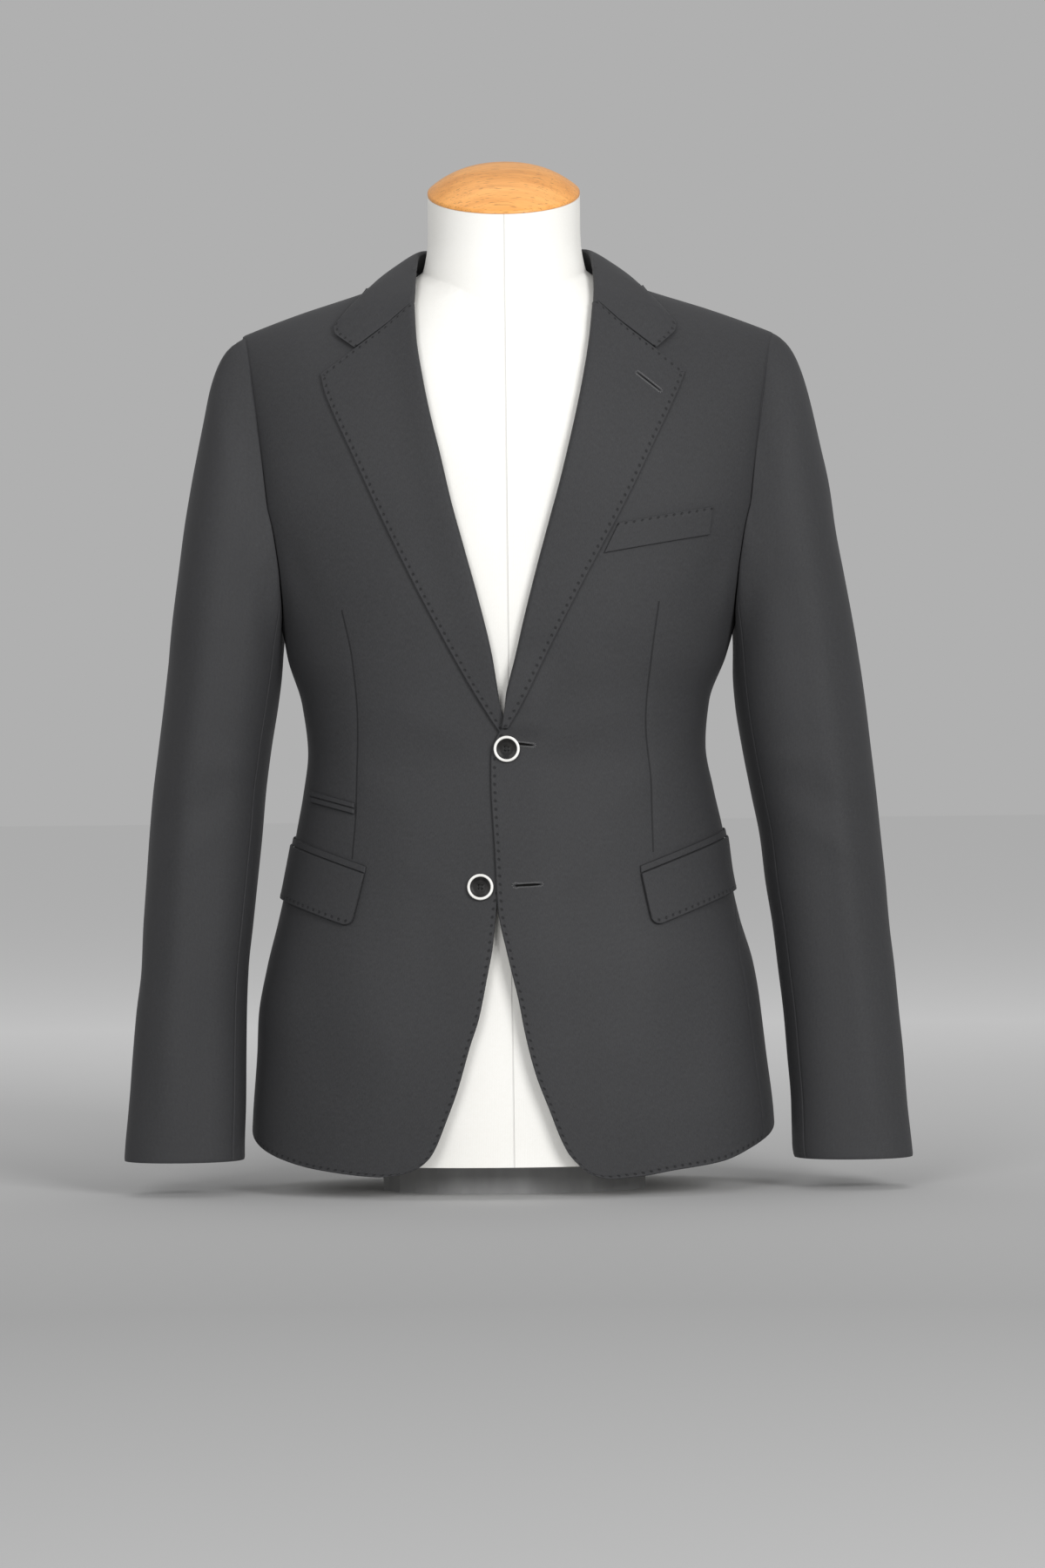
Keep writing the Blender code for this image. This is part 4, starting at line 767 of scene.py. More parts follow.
def make_lapel(side):
    """The lapel, rolled round the front's edge and lying on the front."""
    roll, outer = (ROLL_LEFT, OUTER_LEFT) if side > 0 else (ROLL_RIGHT, OUTER_RIGHT)
    rise = lines(*LAPEL_GRID[0])[:, None]
    roll_z = roll[0][0] + (roll[-1][0] - roll[0][0]) * rise
    edge_z = outer[0][0] + (outer[-1][0] - outer[0][0]) * rise
    roll_x, edge_x = column(roll, roll_z), column(outer, edge_z)
    point, normal, inward = surface_frame(side, roll_x, roll_z)
    height = lapel_lift(side, roll_x, roll_z, 0)
    base = front_lift(roll_x, roll_z) if side > 0 else 0.0
    radius = (height - base + WALL) / 2
    centre = point + normal * (height - radius)[..., None]
    share = np.linspace(0, 1, 13)[None, :-1]
    closed = ease(roll_z, *WRAP_FROM)
    start = WRAP_START * closed + WRAP_OPEN * (1 - closed)
    turn = np.radians(start + (90 - start) * share)[..., None]
    wrap = centre + (inward * np.cos(turn) + normal * np.sin(turn)) * radius[..., None]
    share = lines(*LAPEL_GRID[1])[None, 2:]
    x = roll_x * (1 - share) + edge_x * share
    z = roll_z * (1 - share) + edge_z * share
    point, normal, _ = surface_frame(side, x, z)
    face = point + normal * lapel_lift(side, x, z, np.abs(x - roll_x))[..., None]
    points = np.concatenate([wrap, face], axis=1)
    like = np.concatenate([unit(wrap - centre), normal], axis=1)
    normals = grid_normals(points, like)
    down, inside = runs(points, 0), runs(points, 1)
    inside = inside[:, -1:] - inside
    down = down[-1:] - down
    charts = {
        "stitch_in": np.minimum(inside, down) * MM,
        "stitch_along": np.where(inside < down, down[:, -1:], -inside[-1:]) * MM,
    }
    name = "lapel_" + side_name(side)
    thing = shell(name + "_cloth", points, normals, WALL, "lrse", "", charts)
    points, normals, inside, down = (part[::-1, ::-1] for part in (points, normals, inside, down))
    notch = np.concatenate([[True], np.abs(points[0, 1:, 0]) > NOTCH_CORNER[0]])
    turned = (points.transpose(1, 0, 2)[notch], normals.transpose(1, 0, 2)[notch])
    stitches = stitch_mesh(name + "_stitches", [
        edge_stitches(points, normals, inside, down[:, 0], down),
        edge_stitches(*turned, down.T[notch], inside[0][notch], inside.T[notch]),
    ])
    return thing, stitches, points, normals


def route(points, shares):
    """Points on a smooth curve through the given points, at shares 0 to 1 of its length."""
    points = np.asarray(points, float)
    lengths = np.concatenate([[0], np.cumsum(np.linalg.norm(np.diff(points, axis=0), axis=1))])
    return read(np.column_stack([lengths, points]), np.asarray(shares) * lengths[-1])


def gorge_point(side, share):
    """x and z on the lapel's upper edge, from the roll at 0 to the tip at 1."""
    roll = (ROLL_LEFT if side > 0 else ROLL_RIGHT)[-1]
    tip = (OUTER_LEFT if side > 0 else OUTER_RIGHT)[-1]
    return roll[1] * (1 - share) + tip[1] * share, roll[0] * (1 - share) + tip[0] * share


def collar_half(side, shares, columns):
    """Face points of half the collar from the gorge to the middle of the back, with its frames."""
    roll_x, tip_x = abs(gorge_point(side, 0)[0]), abs(gorge_point(side, 1)[0])
    corner = (NOTCH_CORNER[0] - roll_x) / (tip_x - roll_x)
    gorge_x, gorge_z = gorge_point(side, columns * corner)
    point, normal, _ = surface_frame(side, gorge_x, gorge_z + GORGE_GAP)
    off = lapel_lift(side, gorge_x, gorge_z, np.abs(gorge_x - side * roll_x))
    gorge = point + normal * off[..., None]
    point, normal, _ = surface_frame(side, side * COLLAR_TIP[0], COLLAR_TIP[1])
    edge = [point + normal * (OVER + COLLAR_STAND_OFF)]
    for part, x, z in COLLAR_EDGE:
        if part == "ridge":
            place = (side * across(side * x, RIDGE_LEVEL), RIDGE_LEVEL)
        elif x == 0:
            place = (180.0, level_at(x, z))
        else:
            place = spot(side * x, z, back=part == "back")
        off = OVER + COLLAR_STAND_OFF - (RIDGE_HUG if part == "ridge" else 0.0)
        edge.append(body(*place) + body_normal(*place) * off)
    edge[-1][0] = 0.0
    folds = route([gorge[0]] + [(side * x, y, z) for x, y, z in FOLD], shares)
    late = np.clip((shares - 0.06) / 0.94, 0, 1)
    edges = route(edge, late)
    early = ease(shares, 0, 0.06)[:, None]
    edges = gorge[-1] * (1 - early) + edges * early
    along = unit(np.gradient(folds, axis=0))
    along[-1] = (-side, 0, 0)
    across_back = np.stack([folds[:, 0], np.maximum(folds[:, 1], -60) * 0.9, np.zeros(len(folds))], -1)
    ahead = np.clip(-folds[:, 1:2] / 60, 0, 1)
    away = (edges - folds) * ahead + np.where(ahead > 0, unit(across_back) * 20, across_back)
    away[0] = gorge[1] - gorge[0]
    away = unit(away - along * np.sum(away * along, -1, keepdims=True))
    away[-1] = (0, 1, 0)
    up = np.cross(along, away)
    up = np.where((up @ np.array([0, -0.4, 1.0]))[:, None] < 0, -up, up)
    reach = np.linalg.norm(edges - folds, axis=1)[:, None]
    lean = np.array([0, 0, 0.6]) + unit(folds - edges)
    controls = (folds, folds + away * FOLD_REACH, edges + lean * reach * EDGE_REACH, edges)
    weights = ((1 - columns) ** 3, 3 * columns * (1 - columns) ** 2, 3 * columns ** 2 * (1 - columns),
               columns ** 3)
    rows = sum(control[:, None] * weight[None, :, None] for control, weight in zip(controls, weights))
    blend = ease(shares, 0, 0.09)[:, None, None]
    rows = gorge[None] * (1 - blend) + rows * blend
    x, y, z = np.moveaxis(rows, -1, 0)
    place = spot(x, np.minimum(z, ridge_height(x) - 0.5), back=y > 0)
    normal = body_normal(*place)
    height = np.sum((rows - body(*place)) * normal, -1)
    short = np.maximum(0.0, OVER + COLLAR_STAND_OFF - height)
    short = np.where((z < ridge_height(x) - 0.5) & (np.abs(x) > 5), short, 0)
    short[:, -1] = 0
    return rows + normal * short[..., None], away, up


def make_collar():
    """The fall, turned over at the fold, and the stand that carries it."""
    shares = np.concatenate([lines(*COLLAR_GRID[0])[:-5], [1.0]])
    columns = lines(*COLLAR_GRID[1])
    right, right_away, right_up = collar_half(-1, shares, columns)
    left, left_away, left_up = collar_half(1, shares, columns)
    face = np.concatenate([right, left[-2::-1]])
    away = np.concatenate([right_away, left_away[-2::-1]])
    up = np.concatenate([right_up, left_up[-2::-1]])
    run = runs(face, 0)[:, 0]
    gorge = 1 - ease(np.minimum(run, run[-1] - run), 0, 26)
    radius = (FOLD_RADIUS + GORGE_RADIUS_MORE * gorge)[:, None]
    centre = face[:, 0] - up * radius
    start = (180 + GORGE_WRAP_MORE * gorge)[:, None]
    turn = np.radians(start + (90 - start) * np.linspace(0, 1, 12)[None, :-1])[..., None]
    wrap = away[:, None] * np.cos(turn) + up[:, None] * np.sin(turn)
    wrap = centre[:, None] + wrap * radius[:, None]
    points = np.concatenate([wrap, face], axis=1)
    like = [wrap - centre[:, None], np.broadcast_to((away + up)[:, None], face.shape)]
    normals = grid_normals(points, np.concatenate(like, axis=1))
    down, inside = runs(points, 0), runs(points, 1)
    inside = inside[:, -1:] - inside
    charts = {"stitch_in": inside * MM, "stitch_along": down[:, -1:] * MM}
    fall = shell("collar_fall_cloth", points, normals, WALL, "rse", "", charts)
    flipped = [part[:, ::-1] for part in (points, normals, inside, np.minimum(down, down[-1:] - down))]
    stitches = stitch_mesh("collar_stitches", [
        edge_stitches(flipped[0], flipped[1], flipped[2], down[:, -1], flipped[3]),
    ])

    tops = points[:, 0] - up * SEAM
    middle = len(tops) // 2
    first = int(round(STAND_START * middle))
    order = np.arange(first, len(tops) - first)
    side = np.where(order < middle, -1, 1)
    share = (np.minimum(order, len(tops) - 1 - order) - first) / (middle - first)
    foot = route(STAND_FOOT, share)
    foot[:, 0] *= side
    top = tops[order]
    rise = lines(*STAND_GRID)[None, :, None]
    grid = foot[:, None] * (1 - rise) + top[:, None] * rise
    outward = np.stack([grid[..., 0], grid[..., 1], np.zeros(grid.shape[:2])], -1)
    stand = shell("collar_stand_cloth", grid, grid_normals(grid, -outward), WALL * 0.9, "le", "s")
    return fall, stand, stitches


def sleeve_hang(side, turn, height):
    """Points of the sleeve's outer surface; turn is 0 outside, -90 in front, 180 inside."""
    table = SLEEVE_LEFT if side > 0 else SLEEVE_RIGHT
    inner, outer, half_depth, depth_middle = np.moveaxis(read(table, height), -1, 0)
    ahead, aside = np.cos(np.radians(turn)), np.sin(np.radians(turn))
    reach = (np.abs(ahead) ** SLEEVE_POWER + np.abs(aside) ** SLEEVE_POWER) ** (-1 / SLEEVE_POWER)
    x = (inner + outer) / 2 + (outer - inner) / 2 * ahead * reach
    return np.stack([side * x, depth_middle + half_depth * aside * reach, height + 0 * x], -1)


SLEEVE_CREASES = (
    ((-120, 330), (-30, 300), 13, -1.2), ((-110, 300), (-50, 262), 11, 1.0),
    ((-150, 350), (-70, 352), 12, 0.9), ((-60, 560), (-20, 430), 26, 1.4),
    ((20, 600), (50, 440), 24, -1.2), ((-110, 560), (-90, 420), 18, -1.4),
    ((-30, 240), (-60, 90), 24, 1.2), ((30, 220), (10, 70), 26, -1.0),
    ((90, 560), (120, 400), 20, 1.2), ((80, 320), (140, 280), 14, -1.0),
    ((100, 250), (150, 220), 12, 0.9), ((-70, 500), (-76, 12), 15, 2.3),
    ((86, 500), (92, 12), 17, 1.8),
)


def make_sleeve(side, part):
    """The top or under sleeve, sewn to the other in front and behind."""
    if part == "top":
        first, last, width = SLEEVE_SEAM_FRONT, SLEEVE_SEAM_BACK, TOP_SLEEVE_WIDTH
    else:
        first, last, width = SLEEVE_SEAM_BACK - RING_STEPS, SLEEVE_SEAM_FRONT, UNDER_SLEEVE_WIDTH
    steps = first + (last - first) * lines(int(width * SLEEVE_LINES), width)[:, None]
    angle, level, turn = ring_place(steps)
    angle = side * angle
    place = body(angle, level)
    normal = body_normal(angle, level)
    before, after = ring_place(steps - 0.05), ring_place(steps + 0.05)
    along = unit(body(side * after[0], after[1]) - body(side * before[0], before[1]))
    inwards = unit(np.cross(normal, along))
    centre = np.array(ARMHOLE_CENTRE) * (side, 1, 1)
    facing = np.sum(inwards * (centre - place), -1, keepdims=True)
    inwards = np.where(facing < 0, -inwards, inwards)
    under = ease(np.abs(turn), 125, 150)
    start = place + inwards * SEAM + normal * (ARMPIT_STAND_OFF * under)[..., None]
    cuff = (SLEEVE_LEFT if side > 0 else SLEEVE_RIGHT)[0][0]
    share = lines(*SLEEVE_GRID)[None]
    height = start[..., 2] + (cuff - start[..., 2]) * share
    drop = start[..., 2] - height
    held = start - sleeve_hang(side, turn, start[..., 2])
    points = sleeve_hang(side, turn + 0 * height, height)
    points = points + held * np.exp(-(drop / HEAD_FADE) ** 2)[..., None]
    outward = np.stack([side * np.cos(np.radians(turn)), np.sin(np.radians(turn)), 0.2 + 0 * turn], -1)
    normals = grid_normals(points, outward)
    lift = creases(turn + 0 * height, height, SLEEVE_CREASES)
    lift *= ease(drop, 15, 70) * ease(height - cuff, 5, 40)
    points = points + normals * lift[..., None]
    normals = grid_normals(points, normals)
    over = (1 - ease(np.abs(turn), 75, 112)) * (share == 0)
    normals = unit(normal * over[..., None] + normals * (1 - over[..., None]))
    return shell("sleeve_" + side_name(side) + "_" + part + "_cloth", points, normals, WALL, "e", "slr")


def strip_on_front(name, places, lift, wall, free="lrse", charts=None):
    """A small piece that lies on the body surface."""
    angle, level = places
    normals = body_normal(angle, level)
    points = body(angle, level) + normals * lift
    return shell(name, points, normals, wall, free, "", charts), points, normals


def make_flap(side):
    """The hip pocket's flap and the jetting above it, both lying on the panels."""
    table = FLAP_LEFT if side > 0 else FLAP_RIGHT
    first = float(across(side * table["start"], table["top"]))
    along = lines(*FLAP_GRID[1], (0, 0.3, 0.8, 1.5, 2.4, 3.6, 5, 7))
    angles = side * (first + (FLAP_END_ANGLE - first) * along)
    x = np.abs(body(angles, table["top"])[..., 0])
    tops = table["top"] + table["slope"] * (x - table["start"])
    tops = tops + 0.1 * np.maximum(0, np.abs(angles) - 85)
    line = body(angles, tops)
    run = np.concatenate([[0], np.cumsum(np.linalg.norm(np.diff(line, axis=0), axis=1))])
    corner = round_off(np.minimum(run, run[-1] - run), FLAP_CORNER)
    share = lines(*FLAP_GRID[0])[:, None]
    low = tops - FLAP_HEIGHT + corner
    slant = np.abs(gap_angle(angles, tops, table["slant"])) * (1 - share) * (1 - run / run[-1])
    level = low + (tops - low) * share
    places = (angles + side * slant + 0 * level, level)
    points = body(*places)
    down, inside = runs(points, 0), runs(points, 1)
    inside = np.minimum(inside, inside[:, -1:] - inside)
    # The shade line is the flap's top edge, where the worsted paints shade
    charts = {"stitch_in": down * MM, "stitch_along": run[None] * MM,
              "shade_line_across": (down[-1:] - down) * MM, "shade_line_inside": 1 + 0 * down}
    name = "flap_" + side_name(side)
    flap, points, normals = strip_on_front(name + "_cloth", places, OVER + FLAP_STAND_OFF, WALL,
                                           charts=charts)
    stitches = stitch_mesh(name + "_stitches", [
        edge_stitches(points.transpose(1, 0, 2), normals.transpose(1, 0, 2), down.T, run, inside.T),
    ])
    rise = (SEAM + 0.1 + JET_HEIGHT * lines(8, JET_HEIGHT, (0, 0.25, 0.7, 1.2)))[:, None]
    # The shade line is the jet's top edge, where the worsted paints shade
    to_top = rise[-1:] - rise + 0 * angles
    charts = {"shade_line_across": to_top * MM, "shade_line_inside": 1 + 0 * to_top}
    jet, _, _ = strip_on_front("jet_" + side_name(side) + "_cloth", (angles + 0 * rise, tops + rise),
                               LAY + THIN_WALL, THIN_WALL, charts=charts)
    return flap, jet, stitches


def make_ticket_pocket():
    """Two jets of the small pocket above the wearer's right hip pocket."""
    made = []
    for name, base in (("lower", 0.0), ("upper", TICKET["height"] + SEAM)):
        x = np.linspace(TICKET["start"], TICKET["end"], 60)
        rise = TICKET["height"] * lines(8, TICKET["height"], (0, 0.25, 0.6, 1.1))[:, None]
        z = TICKET["top"] - TICKET["height"] * 2 + base + rise + TICKET["slope"] * (x - TICKET["start"])
        # The shade lines are both edges of each lip, where the worsted paints shade
        to_edge = np.minimum(rise, TICKET["height"] - rise) + 0 * x
        charts = {"shade_line_across": to_edge * MM, "shade_line_inside": 1 + 0 * to_edge}
        thing, _, _ = strip_on_front("ticket_jet_" + name + "_cloth", spot(-x + 0 * z, z),
                                     LAY + THIN_WALL, THIN_WALL, charts=charts)
        made.append(thing)
    return made


def make_breast_welt():
    """The breast pocket's welt, from under the lapel's edge towards the arm."""
    share = lines(*WELT_GRID[0])[:, None]
    start = WELT["foot_start"] * (1 - share) + WELT["start"] * share
    end = WELT["end"] - 3 * (1 - share)
    x = start + (end - start) * lines(*WELT_GRID[1])[None]
    z = WELT["top"] + WELT["slope"] * (x - WELT["start"]) - WELT["height"] * (1 - share)
    points = body(*spot(x, z))
    down, across_welt = runs(points, 0), runs(points, 1)
    down = down[-1:] - down
    along = across_welt[-1]
    charts = {"stitch_in": (down + STITCH_INSET - WELT_INSET) * MM, "stitch_along": along[None] * MM}
    thing, points, normals = strip_on_front("breast_welt_cloth", spot(x, z), LAY + THIN_WALL, THIN_WALL,
                                            charts=charts)
    clear = np.minimum(across_welt, across_welt[:, -1:] - across_welt)
    points, normals, down, clear = (part[::-1] for part in (points, normals, down, clear))
    stitches = stitch_mesh("breast_welt_stitches", [
        edge_stitches(points.transpose(1, 0, 2), normals.transpose(1, 0, 2), down.T, along, clear.T,
                      WELT_INSET),
    ])
    return thing, stitches


# Colours of the cloth, and the near-black mixed in for painted shade on the cloth and the jersey and for
# the wood's pores
CLOTH_DARK = (0.0310, 0.0312, 0.0328)
CLOTH_LIGHT = (0.0505, 0.0507, 0.0533)
PAINTED_SHADE_AND_PORE_DARK = (0.004, 0.004, 0.0045)


def set_material(thing, material):
    thing.data.materials.clear()
    thing.data.materials.append(material)


def settle(thing, slot_name, material, *nodes):
    """Give a piece its finish and its body, and hide the solids that it stands for."""
    set_material(thing, material)
    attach(thing, "root")
    if nodes:
        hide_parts(*nodes)


def new_group(name, inputs, outputs):
    """A node group with named float or vector inputs and float outputs."""
    group = bpy.data.node_groups.new(name, "ShaderNodeTree")
    for label, kind, value in inputs:
        socket = group.interface.new_socket(label, in_out="INPUT", socket_type=kind)
        if value is not None:
            socket.default_value = value
    for label in outputs:
        group.interface.new_socket(label, in_out="OUTPUT", socket_type="NodeSocketFloat")
    return group, group.nodes.new("NodeGroupInput"), group.nodes.new("NodeGroupOutput")


def plug(tree, source, socket):
    """Link a socket, or set a plain value."""
    if isinstance(source, (int, float)):
        socket.default_value = source
    else:
        tree.links.new(source, socket)


def maths(tree, operation, *values, clamp=False):
    node = tree.nodes.new("ShaderNodeMath")
    node.operation = operation
    node.use_clamp = clamp
    for value, socket in zip(values, node.inputs):
        plug(tree, value, socket)
    return node.outputs[0]


def blend(tree, first, first_share, second, second_share):
    """The sum of two values, each times its own share."""
    return maths(tree, "ADD", maths(tree, "MULTIPLY", first, first_share),
                 maths(tree, "MULTIPLY", second, second_share))


def fade(tree, value, start, end):
    """1 at start and 0 at end, with soft ends."""
    node = tree.nodes.new("ShaderNodeMapRange")
    node.interpolation_type = "SMOOTHSTEP"
    plug(tree, value, node.inputs["Value"])
    for label, part in (("From Min", start), ("From Max", end), ("To Min", 1.0), ("To Max", 0.0)):
        plug(tree, part, node.inputs[label])
    return node.outputs[0]


def noise(tree, vector, scale, stretch=(1, 1, 1), detail=2.0):
    """Noise of a given number of blobs in a metre, stretched along the axes."""
    mapping = tree.nodes.new("ShaderNodeMapping")
    mapping.inputs["Scale"].default_value = stretch
    tree.links.new(vector, mapping.inputs["Vector"])
    node = tree.nodes.new("ShaderNodeTexNoise")
    node.inputs["Scale"].default_value = scale
    node.inputs["Detail"].default_value = detail
    tree.links.new(mapping.outputs[0], node.inputs["Vector"])
    return node.outputs[0]


def make_weave_group():
    """Two crossing sets of yarns, with a slub that runs along the cloth."""
    group, given, made = new_group("woven_yarns", (
        ("Place", "NodeSocketVector", None),
        ("Yarns", "NodeSocketFloat", 2000.0),
    ), ("Height", "Shade"))
    parts = group.nodes.new("ShaderNodeSeparateXYZ")
    group.links.new(given.outputs["Place"], parts.inputs[0])
    turns = maths(group, "MULTIPLY", given.outputs["Yarns"], math.tau)
    warp = maths(group, "MULTIPLY", parts.outputs[0], turns)
    weft = maths(group, "MULTIPLY", parts.outputs[1], turns)
    twill = maths(group, "MULTIPLY", maths(group, "ADD", warp, weft), 0.5)
    ribs = maths(group, "ABSOLUTE", maths(group, "SINE", twill))
    yarn = maths(group, "ABSOLUTE", maths(group, "SINE", maths(group, "MULTIPLY", warp, 0.5)))
    group.links.new(blend(group, ribs, 0.6, yarn, 0.4), made.inputs["Height"])
    slub = noise(group, given.outputs["Place"], 1.0, (1500.0, 420.0, 1.0))
    heather = noise(group, given.outputs["Place"], 260.0)
    group.links.new(blend(group, slub, 0.7, heather, 0.3), made.inputs["Shade"])
    return group


def make_stitch_group():
    """Dimples where the pick stitches pull the cloth in."""
    group, given, made = new_group("stitch_dimples", (
        ("In", "NodeSocketFloat", 0.0),
        ("Along", "NodeSocketFloat", 0.0),
        ("Inset", "NodeSocketFloat", STITCH_INSET * MM),
        ("Pitch", "NodeSocketFloat", STITCH_PITCH * MM),
        ("Reach", "NodeSocketFloat", STITCH_REACH * MM),
    ), ("Dimple", "Pull"))
    inset = maths(group, "SUBTRACT", given.outputs["In"], given.outputs["Inset"])
    inset = maths(group, "ABSOLUTE", inset)
    turn = maths(group, "DIVIDE", given.outputs["Along"], given.outputs["Pitch"])
    nearest = maths(group, "ABSOLUTE", maths(group, "SUBTRACT", turn, maths(group, "ROUND", turn)))
    along = maths(group, "MULTIPLY", nearest, given.outputs["Pitch"])
    distance = maths(group, "SQRT", maths(group, "ADD", maths(group, "MULTIPLY", inset, inset),
                                          maths(group, "MULTIPLY", along, along)))
    group.links.new(fade(group, distance, 0.0, given.outputs["Reach"]), made.inputs["Dimple"])
    group.links.new(fade(group, inset, 0.0, PULL_REACH * MM), made.inputs["Pull"])
    return group


def add_group(tree, group, **inputs):
    node = tree.nodes.new("ShaderNodeGroup")
    node.node_tree = group
    for label, value in inputs.items():
        plug(tree, value, node.inputs[label])
    return node.outputs


def attribute(tree, name):
    node = tree.nodes.new("ShaderNodeAttribute")
    node.attribute_name = name
    return node.outputs["Fac"]


def ramp(tree, value, dark, light, low=0.3, high=0.7):
    """A colour between two, by a value."""
    node = tree.nodes.new("ShaderNodeValToRGB")
    node.color_ramp.elements[0].position = low
    node.color_ramp.elements[0].color = (*dark, 1)
    node.color_ramp.elements[1].position = high
    node.color_ramp.elements[1].color = (*light, 1)
    tree.links.new(value, node.inputs[0])
    return node.outputs[0]


def darken_for_painted_shade_and_pores(tree, colour, share):
    """A colour made darker by a share, towards the near-black of painted shade and of wood pores."""
    node = tree.nodes.new("ShaderNodeMix")
    node.data_type = "RGBA"
    node.blend_type = "MIX"
    plug(tree, share, node.inputs["Factor"])
    tree.links.new(colour, node.inputs["A"])
    node.inputs["B"].default_value = (*PAINTED_SHADE_AND_PORE_DARK, 1)
    return node.outputs["Result"]


def start_material(name, roughness, **values):
    """A Principled material with constants on its own sockets."""
    material = bpy.data.materials.new(name)
    material.use_nodes = True
    tree = material.node_tree
    shader = tree.nodes["Principled BSDF"]
    shader.inputs["Roughness"].default_value = roughness
    for label, value in values.items():
        shader.inputs[label.replace("_", " ")].default_value = value
    return material, tree, shader


def bump(tree, shader, height, distance, strength=1.0):
    node = tree.nodes.new("ShaderNodeBump")
    node.inputs["Distance"].default_value = distance
    node.inputs["Strength"].default_value = strength
    tree.links.new(height, node.inputs["Height"])
    tree.links.new(node.outputs[0], shader.inputs["Normal"])


def roughen(tree, shader, value, gain, base):
    """Roughness that rises with a value."""
    rough = maths(tree, "ADD", maths(tree, "MULTIPLY", value, gain), base)
    tree.links.new(rough, shader.inputs["Roughness"])


def uv_place(tree):
    node = tree.nodes.new("ShaderNodeUVMap")
    node.uv_map = "cloth"
    return node.outputs[0]


def object_place(tree):
    return tree.nodes.new("ShaderNodeTexCoord").outputs["Object"]


def make_worsted():
    """Fine charcoal worsted: twill, heather, darts and the pull of the pick stitches, with painted shade
    in the stitch dimples and along the darts and the pocket edges.
    """
    material, tree, shader = start_material("charcoal_worsted", 0.62, Sheen_Weight=0.05,
                                            Sheen_Roughness=0.4, Specular_IOR_Level=0.16)
    shader.inputs["Sheen Tint"].default_value = (0.80, 0.80, 0.84, 1)
    weave = add_group(tree, WEAVE, Place=uv_place(tree), Yarns=1900.0)
    broad = noise(tree, object_place(tree), 9.0, (1, 1, 0.5))
    tone = blend(tree, weave["Shade"], 0.75, broad, 0.25)
    stitches = add_group(tree, DIMPLES, In=attribute(tree, "stitch_in"),
                         Along=attribute(tree, "stitch_along"))
    # Shade lines: painted shade along the darts, the top edges of the hip pocket flaps and jets, and
    # both edges of the ticket pocket's lips
    across_shade_line = maths(tree, "ABSOLUTE", attribute(tree, "shade_line_across"))
    shade_line = maths(tree, "MULTIPLY", fade(tree, across_shade_line, 0.1 * MM, 1.2 * MM),
                 maths(tree, "GREATER_THAN", attribute(tree, "shade_line_inside"), 0.0))
    # Painted shade: the colour is drawn towards near-black in the stitch dimples and along the shade
    # lines
    dark = maths(tree, "MAXIMUM", maths(tree, "MULTIPLY", stitches["Dimple"], 0.8),
                 maths(tree, "MULTIPLY", shade_line, 0.55))
    colour = darken_for_painted_shade_and_pores(tree, ramp(tree, tone, CLOTH_DARK, CLOTH_LIGHT), dark)
    tree.links.new(colour, shader.inputs["Base Color"])
    roughen(tree, shader, weave["Shade"], 0.16, 0.54)
    pulled = blend(tree, stitches["Dimple"], 3.0, stitches["Pull"], 1.2)
    pulled = maths(tree, "ADD", pulled, maths(tree, "MULTIPLY", shade_line, 2.0))
    height = maths(tree, "SUBTRACT", maths(tree, "MULTIPLY", weave["Height"], 0.22), pulled)
    height = maths(tree, "ADD", height, maths(tree, "MULTIPLY", weave["Shade"], 0.5))
    bump(tree, shader, height, 0.00012)
    return material


def make_thread(name, dark, light, sheen=0.1, specular=0.25):
    """Twisted sewing thread."""
    material, tree, shader = start_material(name, 0.55, Sheen_Weight=sheen, Specular_IOR_Level=specular)
    twist = noise(tree, object_place(tree), 2600.0)
    tree.links.new(ramp(tree, twist, dark, light), shader.inputs["Base Color"])
    bump(tree, shader, twist, 0.0001)
    return material


def make_jersey():
    """Cream jersey pulled smooth, with fine wales and courses and a seam down the middle, darkened as
    painted shade in its groove.
    """
    material, tree, shader = start_material("cream_jersey", 0.78, Sheen_Weight=0.12,
                                            Specular_IOR_Level=0.25)
    place = object_place(tree)
    parts = tree.nodes.new("ShaderNodeSeparateXYZ")
    tree.links.new(place, parts.inputs[0])
    angle = maths(tree, "ARCTAN2", parts.outputs[0], parts.outputs[1])
    flat = tree.nodes.new("ShaderNodeCombineXYZ")
    tree.links.new(maths(tree, "MULTIPLY", angle, 0.11), flat.inputs[0])
    tree.links.new(parts.outputs[2], flat.inputs[1])
    knit = add_group(tree, WEAVE, Place=flat.outputs[0], Yarns=950.0)
    broad = noise(tree, place, 14.0)
    tone = blend(tree, knit["Shade"], 0.5, broad, 0.5)
    colour = ramp(tree, tone, (0.86, 0.845, 0.80), (0.92, 0.912, 0.88))
    seam = fade(tree, maths(tree, "ABSOLUTE", parts.outputs[0]), 0.1 * MM, 0.8 * MM)
    # Painted shade in the seam's groove
    colour = darken_for_painted_shade_and_pores(tree, colour, maths(tree, "MULTIPLY", seam, 0.16))
    tree.links.new(colour, shader.inputs["Base Color"])
    height = blend(tree, knit["Height"], 0.35, seam, -2.5)
    bump(tree, shader, height, 0.00015)
    return material


